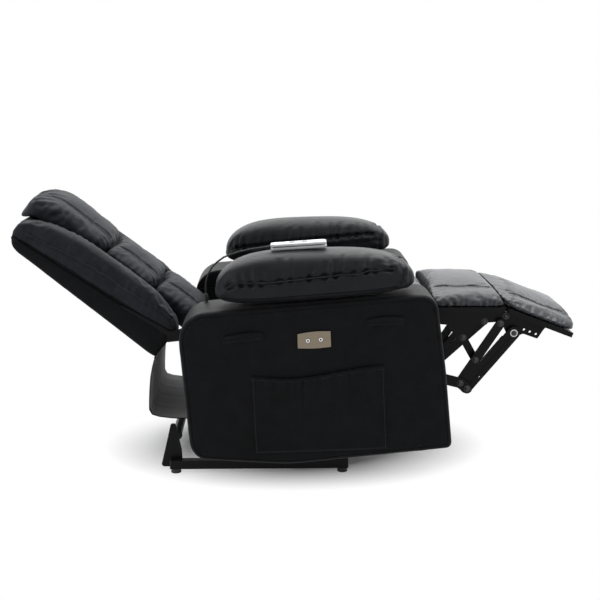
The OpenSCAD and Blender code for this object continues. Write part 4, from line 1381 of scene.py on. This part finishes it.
def pocket_point(u, v):
    """u runs along the pocket from rear to front, v from its foot to its mouth."""
    left = Vector((-160, 106)).lerp(Vector((-170, 322)), v)
    right = Vector((196, 116)).lerp(Vector((184, 350)), v)
    p = left.lerp(right, u)
    p.y += v * (-14 * math.sin(math.pi * u) - 5 * math.sin(2 * math.pi * u))
    mouth = v ** 5
    lean = u + 0.05 * (1 - v) * (0.5 - u) * 2
    gather = math.sin(lean * 92 + 2.0 * math.sin(lean * 17)) * 0.6 + math.sin(lean * 57 + 1.3) * 0.5
    swell = 2.6 + 4.2 * math.sin(math.pi * u) ** 0.6 * (0.35 + 0.65 * v) + 0.8 * gather * mouth
    reach = 0.34 + 0.16 * math.sin(lean * 31 + 2)
    swell += 2.5 * gather * math.exp(-((0.97 - v) / reach) ** 2) * math.sin(math.pi * u) ** 0.5
    swell *= min(1, min(u, 1 - u) * 26 + 0.55)
    swell *= min(1, v * 16 + 0.6)
    return side_point(p.x, -(PANEL_Y + 0.0008 + swell / 1000), p.y)


# Rear end x and z, front end x and z of each grab strap, in millimetres
STRAPS = {"rear": (-243, 412, -136, 428), "front": (134, 458, 236, 467)}


def strap_spot(ends, t):
    """Middle of a strap at t along it: x, z and how far it stands proud, in millimetres."""
    x0, z0, x1, z1 = ends
    arch = math.sin(math.pi * t)
    return x0 + (x1 - x0) * t, z0 + 6 + (z1 - z0 - 4) * t + 3 * arch, arch


def strap_ring(ends, t):
    """The outline of a strap's section, flat at the back and with two ribs in front."""
    x, z, arch = strap_spot(ends, t)
    half = (10.5 + 1.5 * t) * (1 - 0.3 * abs(2 * t - 1) ** 14)
    proud = 1.0 + 11.0 * arch ** 0.5 * (1 - 0.3 * abs(2 * t - 1) ** 6)
    ring = []
    for g in range(24):
        a = 2 * math.pi * g / 24
        c, s = math.cos(a), math.sin(a)
        across = half * math.copysign(abs(c) ** 0.8, c)
        thick = 1.2 + 2.4 * abs(math.sin(across / half * math.pi)) if s > 0 else 0.9
        out = proud * 0.5 + thick * abs(s) ** 0.8 * (1 if s > 0 else -0.4)
        ring.append(side_point(x, -(PANEL_Y + 0.0009 + out / 1000), z + across))
    return ring


class RECLINER_OT_pocket(bpy.types.Operator):
    """Sews the gathered side pocket, the two grab straps and their stitching"""

    bl_idname = "recliner.pocket"
    bl_label = "Pocket and straps"

    def execute(self, context):
        out = Vector((0, -1, 0))
        grid = [[(pocket_point(i / 150, j / 60), out) for i in range(151)] for j in range(61)]
        o = sheet_block("side_pocket_cloth", grid, 0.0016)
        assign(o, "leather", "seat_unit", "side_pocket")
        hem = [pocket_point(i / 150, 1.0) + Vector((0, -0.0006, -0.004)) for i in range(151)]
        band = trim("pocket_elastic", hem, 0.0034, "seat_unit", "leather", 10)
        low = [pocket_point(i / 150, 0.955) + Vector((0, -0.0012, 0)) for i in range(151)]
        stitches("pocket_hem_stitches", low, [out] * len(low), "seat_unit", *HEM_STITCH)
        edge = [pocket_point(0.012, 1 - j / 60) for j in range(60)]
        edge += [pocket_point(0.012 + 0.976 * i / 120, 0.02) for i in range(121)]
        edge += [pocket_point(0.988, j / 60) for j in range(1, 61)]
        edge = [p + Vector((0, -0.0012, 0)) for p in edge]
        stitches("pocket_side_stitches", edge, [out] * len(edge), "seat_unit", *SIDE_STITCH)
        for count, (word, ends) in enumerate(STRAPS.items()):
            bm = bmesh.new()
            skin(bm, [strap_ring(ends, j / 32) for j in range(33)])
            strap = add_mesh(f"grab_strap_{word}", bm)
            smoothed(strap)
            assign(strap, "leather", "seat_unit", *(("grab_straps",) if word == "rear" else ()))
            for off, row in ((-5.5, "a"), (5.5, "b")):
                line = []
                for j in range(2, 31):
                    x, z, arch = strap_spot(ends, j / 32)
                    proud = 1.0 + 11.0 * arch ** 0.5
                    line.append(side_point(x, -(PANEL_Y + 0.0009 + (proud * 0.5 + 2.3) / 1000), z + off))
                stitches(f"strap_stitches_{count}_{row}", line, [out] * len(line), "seat_unit", *STRAP_STITCH)
        return {"FINISHED"}


# ---------- handset, its cord, buttons and plate ----------


def rim_edges(verts):
    """The edges round a flat part's many-sided end faces."""
    edges = dict.fromkeys(e for v in verts for e in v.link_edges)
    return [e for e in edges if any(len(f.verts) > 4 for f in e.link_faces)]


def turned(bm, centre, ahead, radius, depth, top=None, sides=40, bevel=0.0006):
    """A round part about centre whose axis points ahead, with its rims rounded over."""
    made = bmesh.ops.create_cone(bm, cap_ends=True, segments=sides, radius1=radius,
                                 radius2=radius if top is None else top, depth=depth)
    rims = rim_edges(made["verts"])
    turn = Vector(ahead).to_track_quat("Z", "Y").to_matrix().to_4x4()
    bmesh.ops.transform(bm, matrix=Matrix.Translation(centre) @ turn, verts=made["verts"])
    bmesh.ops.bevel(bm, geom=rims, offset=bevel, segments=3, profile=0.5, affect="EDGES", material=-1)


def slab(bm, outline, low, high, place, bevel, segments=4):
    """A flat part drawn by its outline in local X and Y, with its edges rounded over."""
    verts = [bm.verts.new((p[0], p[1], low)) for p in outline]
    face = bm.faces.new(verts)
    grown = bmesh.ops.extrude_face_region(bm, geom=[face])
    up = [v for v in grown["geom"] if isinstance(v, bmesh.types.BMVert)]
    bmesh.ops.translate(bm, verts=up, vec=(0, 0, high - low))
    both = verts + up
    edges = rim_edges(both)
    bmesh.ops.recalc_face_normals(bm, faces=list(dict.fromkeys(f for v in both for f in v.link_faces)))
    made = bmesh.ops.bevel(bm, geom=edges, offset=bevel, segments=segments, profile=0.5, affect="EDGES",
                           material=-1)
    every = dict.fromkeys([v for v in both if v.is_valid] + [v for f in made["faces"] for v in f.verts])
    bmesh.ops.transform(bm, matrix=place, verts=list(every))


def fit(name, bm, finish, body, *nodes):
    """Ends a hard piece: closes its doubles, gives its finish and its body."""
    bmesh.ops.remove_doubles(bm, verts=bm.verts, dist=1e-6)
    bmesh.ops.recalc_face_normals(bm, faces=bm.faces)
    o = add_mesh(name, bm, False)
    o.data.shade_smooth()
    o.data.set_sharp_from_angle(angle=SHARP)
    return assign(o, finish, body, *nodes)


def carve(o, name, cutters):
    """Takes round recesses out of a piece."""
    bm = bmesh.new()
    for centre, ahead, radius, depth in cutters:
        turned(bm, centre, ahead, radius, depth, bevel=0.0002)
    tool = add_mesh(name, bm, False)
    mod = o.modifiers.new("Recess", "BOOLEAN")
    mod.operation, mod.object, mod.solver = "DIFFERENCE", tool, "EXACT"
    bake(o)
    o.data.set_sharp_from_angle(angle=SHARP)
    bpy.data.objects.remove(tool)


CORD_THICK = 0.005
HANDSET = Matrix.Translation((MID - 0.041, -0.334, 0.6512)) @ Matrix.Rotation(math.radians(-3.7), 4, "Y")
HANDSET_OUTLINE = ((-75, -20, 10), (75, -25, 16), (75, 25, 16), (-75, 20, 10))
KEY_X = 0.016
# The cord's line in millimetres, from the handset to its gland
CORD = ((-116.7, -334, 654.8), (-132, -334, 653.4), (-152, -332, 650.6), (-174, -328, 646.6), (-198, -321, 640.4),
        (-222, -313, 632), (-244, -304, 622), (-262, -296, 608), (-276, -289, 593), (-286, -283, 576),
        (-292, -278, 560), (-295, -273, 545), (-296, -269, 532), (-296.4, -266, 523), (-296, -264, 515))
GLAND = (MID - 0.296, -0.264, 0.4927)


class RECLINER_OT_handset(bpy.types.Operator):
    """Makes the handset, its two keys, the cord and the gland it enters"""

    bl_idname = "recliner.handset"
    bl_label = "Handset and cord"

    def execute(self, context):
        cord = [side_point(x, y / 1000, z) for x, y, z in CORD]
        lead, curve = round_curve("handset_lead", cord, CORD_THICK / 2, 4)
        curve.materials.append(FINISHES["rubber"])
        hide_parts("handset_cord")
        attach(lead, "seat_unit")
        outline = [p / 1000 for p in rounded(HANDSET_OUTLINE)]
        up = HANDSET.to_3x3().col[2]
        for name, low, high in (("handset_lower_shell", 0.0, 0.0082), ("handset_upper_shell", 0.0087, 0.017)):
            bm = bmesh.new()
            slab(bm, outline, low, high, HANDSET, 0.0034 if low else 0.003, 5)
            o = fit(name, bm, "handset", "seat_unit", *(("handset",) if low else ()))
            if low:
                carve(o, "key_recess", [(HANDSET @ Vector((k * KEY_X, 0, 0.0165)), up, 0.0096, 0.006) for k in (-1, 1)])
        bm = bmesh.new()
        slab(bm, [p * 0.975 for p in outline], 0.0075, 0.0095, HANDSET, 0.0004, 1)
        fit("handset_shadow_gap", bm, "black_plastic", "seat_unit")
        for k, word, body in ((1, "up", "up_key"), (-1, "down", "down_key")):
            bm = bmesh.new()
            turned(bm, HANDSET @ Vector((k * KEY_X, 0, 0.0168)), up, 0.009, 0.003, 0.0085, 48, 0.0007)
            fit(f"handset_key_{word}_cap", bm, "key", body, f"handset_key_{word}")
            bm = bmesh.new()
            made = bmesh.ops.create_cone(bm, cap_ends=True, segments=3, radius1=0.0034, radius2=0.003, depth=0.0006)
            spin = Matrix.Rotation(math.radians(0 if k > 0 else 180), 4, "Z")
            bmesh.ops.transform(bm, verts=made["verts"],
                                matrix=HANDSET @ Matrix.Translation((k * KEY_X, 0, 0.0185)) @ spin)
            fit(f"handset_arrow_{word}", bm, "handset", body)
        bm = bmesh.new()
        for k in range(7):
            at = cord[0].lerp(cord[1], 0.02 + 0.14 * k)
            turned(bm, at, cord[1] - cord[0], 0.0052 - 0.0003 * k, 0.0016, None, 24, 0.0004)
        turned(bm, cord[0].lerp(cord[1], 0.42), cord[1] - cord[0], 0.0044, 0.0135, 0.0031, 24, 0.0004)
        fit("handset_strain_relief", bm, "rubber", "seat_unit")
        bm = bmesh.new()
        low = Vector(GLAND)
        turned(bm, low + Vector((0, 0, 0.0035)), (0, 0, 1), 0.0072, 0.007, 0.0068, 6, 0.0005)
        turned(bm, low + Vector((0, 0, 0.0145)), (0, 0, 1), 0.0062, 0.015, 0.0042, 32, 0.0006)
        for k in range(4):
            turned(bm, low + Vector((0, 0, 0.009 + 0.003 * k)), (0, 0, 1), 0.0064 - 0.0004 * k, 0.0014, None, 32,
                   0.0003)
        fit("cord_gland_nut", bm, "rubber", "seat_unit", "cord_gland")
        return {"FINISHED"}


PLATE_OUTLINE = ((-46, 396, 2), (0, 395, 300), (43, 400, 2), (41, 443, 2), (-4, 444, 300), (-47, 435, 2))
# x and z of each button, as the solids have them
BUTTONS = {"recline": (MID - 0.01903, 0.4175), "return": (MID + 0.01497, 0.4205)}


class RECLINER_OT_buttons(bpy.types.Operator):
    """Makes the bevelled plate and its two push buttons"""

    bl_idname = "recliner.buttons"
    bl_label = "Button plate"

    def execute(self, context):
        flat = [Vector((p.x / 1000, p.y / 1000)) for p in rounded(PLATE_OUTLINE, 6)]
        place = Matrix.Translation((MID, -0.4203, 0)) @ Matrix(((1, 0, 0), (0, 0, -1), (0, 1, 0))).to_4x4()
        bm = bmesh.new()
        slab(bm, flat, 0, 0.005, place, 0.0017, 4)
        o = fit("button_plate_satin", bm, "plate", "seat_unit", "button_plate")
        out = (0, -1, 0)
        carve(o, "button_recess", [((x, -0.4246, z), out, 0.0066, 0.0092) for x, z in BUTTONS.values()])
        for word, (x, z) in BUTTONS.items():
            bm = bmesh.new()
            turned(bm, (x, -0.4248, z), out, 0.006, 0.0049, 0.0056, 40, 0.0009)
            fit(f"button_{word}_cap", bm, "button", f"{word}_button", f"button_{word}")
            bm = bmesh.new()
            turned(bm, (x, -0.42722, z), out, 0.0028, 0.0005, 0.0024, 32, 0.0001)
            fit(f"button_{word}_dimple", bm, "black_plastic", f"{word}_button")
        return {"FINISHED"}


# ---------- rear skirt ----------


# The skirt's line in millimetres, from the shell's lower edge round to the rail
SKIRT = ((-447, 321), (-454, 296), (-459.5, 268), (-463, 232), (-465, 196), (-465.5, 170), (-458, 156),
         (-438, 149.5), (-416, 146.5), (-400, 144.5), (-380, 143.7), (-352, 143.4), (-331, 143.4))
SKIRT_WIDTH = 0.451


class RECLINER_OT_skirt(bpy.types.Operator):
    """Hangs the lined skirt behind the seat"""

    bl_idname = "recliner.skirt"
    bl_label = "Rear skirt"

    def execute(self, context):
        fine = []
        for a, b in zip(SKIRT, SKIRT[1:]):
            fine += [Vector(a).lerp(Vector(b), k / 4) for k in range(4)]
        fine.append(Vector(SKIRT[-1]))
        grid = []
        for j, p in enumerate(fine):
            v = 1 - j / (len(fine) - 1)
            t = (fine[min(j + 1, len(fine) - 1)] - fine[max(j - 1, 0)]).normalized()
            out = Vector((t.y, 0, -t.x))
            row = []
            for i in range(97):
                u = i / 96
                wave = math.sin(u * 41 + 1.5 * math.sin(v * 3)) + 0.6 * math.sin(u * 67 + 2)
                wave *= 0.0004 * math.sin(math.pi * v)
                at = side_point(p.x, -SKIRT_WIDTH / 2 + SKIRT_WIDTH * u, p.y)
                row.append((at + out * wave + Vector((0.0015, 0, 0.0012)), out))
            grid.append(row)
        o = sheet_block("rear_skirt_cloth", grid, 0.0022)
        assign(o, "leather", "seat_unit", "rear_skirt")
        o.data.materials.append(FINISHES["lining"])
        middle = Vector((MID - 0.36, 0, 0.26))
        for face in o.data.polygons:
            c = Vector((face.center.x, 0, face.center.z))
            if face.normal.dot(middle - c) > 0.3 * (middle - c).length:
                face.material_index = 1
        for row, name in ((0, "top"), (-1, "foot")):
            points = [p + n * 0.0004 for p, n in grid[row]]
            trim(f"skirt_hem_{name}", points, 0.0024, "seat_unit", "leather", 8)
        for row, name in ((2, "upper"), (-3, "lower")):
            points = [p + n * 0.0012 for p, n in grid[row]]
            stitches(f"skirt_stitches_{name}", points, [n for _, n in grid[row]], "seat_unit", *SIDE_STITCH)
        return {"FINISHED"}


# ---------- rivets, caps and motor details ----------

RIVETS = (
    # name, x, z, |y| of the face it sits on, head radius, body
    ("rear_link_low", 420, 246, 235, 7.5, "rear_parallel_link"),
    ("channel_low", 440, 230, 235, 7.5, "front_channel_link"),
    ("rear_link_top", 531, 417, 227, 7.5, "rear_parallel_link"),
    ("channel_top", 571, 388, 221, 8.5, "front_channel_link"),
    ("cross_low", 463, 312, 227, 7.0, "rear_parallel_link"),
    ("cross_top", 428, 374, 213, 7.5, "leg_rest"),
    ("push_top", 488, 420, 213, 7.5, "leg_rest"),
    ("foot_hinge", 549, 436, 213, 7.5, "leg_rest"),
)


class RECLINER_OT_rivets(bpy.types.Operator):
    """Sets washers and domed rivet heads on the leg rest links"""

    bl_idname = "recliner.rivets"
    bl_label = "Rivets and washers"

    def execute(self, context):
        for name, x, z, face, radius, body in RIVETS:
            heads, washers = bmesh.new(), bmesh.new()
            for side in (-1, 1):
                spot = side_point(x, side * (face + 0.5) / 1000, z)
                turned(washers, spot, (0, side, 0), radius / 1000 + 0.0022, 0.0014, None, 40, 0.0003)
                turned(heads, spot + Vector((0, side * 0.0018, 0)), (0, side, 0), radius / 1000, 0.0026,
                       radius / 1000 * 0.62, 40, 0.0009)
            fit(f"{name}_washers", washers, "zinc" if name == "channel_top" else "black_plastic", body)
            fit(f"{name}_rivets", heads, "rivet", body)
        return {"FINISHED"}


RAIL_CAP = ((-0.0124, -0.0119), (0.0124, -0.0119), (0.0124, 0.0119), (-0.0124, 0.0119))
# A weld bead's line round a cross tube, from the tube's middle
WELD = ((-0.0127, 0.0135), (-0.0127, 0.0255), (-0.0127, 0.0368), (0, 0.0373), (0.0127, 0.0368), (0.0127, 0.0255),
        (0.0127, 0.0135))


class RECLINER_OT_base(bpy.types.Operator):
    """Adds end caps, ribbed feet and weld beads to the base"""

    bl_idname = "recliner.base"
    bl_label = "Base details"

    def execute(self, context):
        for side, word in ((-1, "right"), (1, "left")):
            y = side * 0.27
            bm = bmesh.new()
            for x, way in ((-0.4022, -1), (0.0982, 1)):
                place = Matrix.Translation((MID + x, y, 0.0245)) @ Matrix.Rotation(math.radians(90) * way, 4, "Y")
                slab(bm, RAIL_CAP, 0, 0.0026, place, 0.0012, 3)
            fit(f"rail_caps_{word}", bm, "rubber", "base")
            bm = bmesh.new()
            for x in (-0.388, 0.084):
                for k in range(3):
                    turned(bm, (MID + x, y, 0.0024 + 0.0034 * k), (0, 0, 1), 0.0146 - 0.0005 * k, 0.0024, None, 40,
                           0.0006)
            fit(f"foot_ribs_{word}", bm, "rubber", "base")
            for k, x in enumerate((-0.05, 0.05)):
                bead = [Vector((MID + x + dx, side * 0.2578, z)) for dx, z in WELD]
                fine = []
                for a, b in zip(bead, bead[1:]):
                    fine += [a.lerp(b, i / 6) + Vector((0, side * 0.0003 * math.sin(i * 2.1), 0)) for i in range(6)]
                trim(f"weld_bead_{word}_{k}", fine, 0.0016, "base", "steel", 8)
            ring = [Vector((MID - 0.385 + 0.0134 * math.cos(g), side * 0.2516, 0.104 + 0.0134 * math.sin(g)))
                    for g in (2 * math.pi * i / 40 for i in range(40))]
            trim(f"weld_ring_{word}", ring, 0.0015, "base", "steel", 8, True)
        return {"FINISHED"}


class RECLINER_OT_motors(bpy.types.Operator):
    """Adds collars and screws to the lift motor"""

    bl_idname = "recliner.motors"
    bl_label = "Motor details"

    def execute(self, context):
        a, b = side_point(10, 0, 84), side_point(-124, 0, 150)
        along = (b - a).normalized()
        bm = bmesh.new()
        for reach in (0.03, 0.05, 0.084):
            turned(bm, a + along * reach, along, 0.0136, 0.0032, None, 40, 0.0008)
        o = fit("lift_motor_collars", bm, "black_plastic", "lift_motor")
        carve(o, "collar_bore", [(a + along * 0.057, along, 0.0118, 0.09)])
        bm = bmesh.new()
        low = Vector((a.x - 0.024, 0, a.z + 0.012))
        for x in (0.006, 0.046):
            for y in (-0.03, 0.03):
                turned(bm, low + Vector((x, y, 0.0345)), (0, 0, 1), 0.0034, 0.0024, 0.003, 24, 0.0005)
        fit("lift_motor_screws", bm, "zinc", "lift_motor")
        return {"FINISHED"}


# ---------- steel and boards that keep their solids ----------

SOLID_FINISHES = {
    "steel": ("base_right_rail", "base_left_rail", "base_cross_tubes", "base_rear_tube", "base_rear_brackets",
              "lift_pivot_brackets", "lift_arm_right", "lift_arm_left", "lift_cross_tube", "lift_stays",
              "mechanism_plate_right", "mechanism_plate_left", "front_cross_bar", "rear_cross_bar", "lift_hangers",
              "motion_hangers", "back_brackets", "calf_brackets", "foot_brackets", "swing_arms",
              "rear_parallel_links", "front_channel_links", "cross_links", "push_links", "torque_tube"),
    "zinc": ("lift_pivot_pins", "lift_motor_rod", "recline_motor_rod", "seat_springs"),
    "motor": ("lift_motor", "recline_motor"),
    "rubber": ("base_feet", "handset_cord", "cord_gland"),
    "board": ("calf_board", "foot_board"),
    "pine": ("seat_frame", "rear_bottom_rail"),
    "plate": ("button_plate",),
    "button": ("button_recline", "button_return"),
    "key": ("handset_key_up", "handset_key_down"),
    "handset": ("handset",),
    "leather": ("side_panel_right", "side_panel_left", "back_shell", "side_pocket", "grab_straps"),
    "lining": ("rear_skirt",),
    "pad": ("seat_cushion", "arm_pad_right", "arm_pad_left", "bolster_right", "bolster_left", "head_pillow",
            "middle_pillow", "lumbar_pillow", "calf_pad", "foot_pad"),
}


class RECLINER_OT_solids(bpy.types.Operator):
    """Gives the steel, boards and mouldings their finishes"""

    bl_idname = "recliner.solids"
    bl_label = "Steel and boards"

    def execute(self, context):
        for finish, names in SOLID_FINISHES.items():
            for name in names:
                dress(name, finish)
        return {"FINISHED"}


# ---------- panel, registration and run ----------

STEPS = (RECLINER_OT_stage, RECLINER_OT_handset, RECLINER_OT_solids, RECLINER_OT_arm_pads, RECLINER_OT_back,
         RECLINER_OT_seat, RECLINER_OT_leg_pads, RECLINER_OT_fill, RECLINER_OT_side_panels, RECLINER_OT_pocket,
         RECLINER_OT_buttons, RECLINER_OT_skirt, RECLINER_OT_rivets, RECLINER_OT_base, RECLINER_OT_motors)


class RECLINER_PT_build(bpy.types.Panel):
    """Lists the steps that build the chair"""

    bl_idname = "RECLINER_PT_build"
    bl_label = "Lift recliner"
    bl_space_type = "VIEW_3D"
    bl_region_type = "UI"
    bl_category = "Recliner"

    def draw(self, context):
        for step in STEPS:
            self.layout.operator(step.bl_idname)
        for group in (context.scene.recliner_finishes, context.scene.recliner_sizes):
            for key in group.bl_rna.properties.keys():
                if key not in {"name", "rna_type"}:
                    self.layout.prop(group, key)


CLASSES = (ReclinerFinishes, ReclinerSizes, *STEPS, RECLINER_PT_build)


def register():
    for cls in CLASSES:
        bpy.utils.register_class(cls)
    bpy.types.Scene.recliner_finishes = bpy.props.PointerProperty(type=ReclinerFinishes)
    bpy.types.Scene.recliner_sizes = bpy.props.PointerProperty(type=ReclinerSizes)


def unregister():
    del bpy.types.Scene.recliner_sizes
    del bpy.types.Scene.recliner_finishes
    for cls in reversed(CLASSES):
        bpy.utils.unregister_class(cls)


def main():
    register()
    make_finishes(bpy.context.scene)
    for step in STEPS:
        group, name = step.bl_idname.split(".")
        getattr(getattr(bpy.ops, group), name)()


if __name__ == "__main__":
    main()
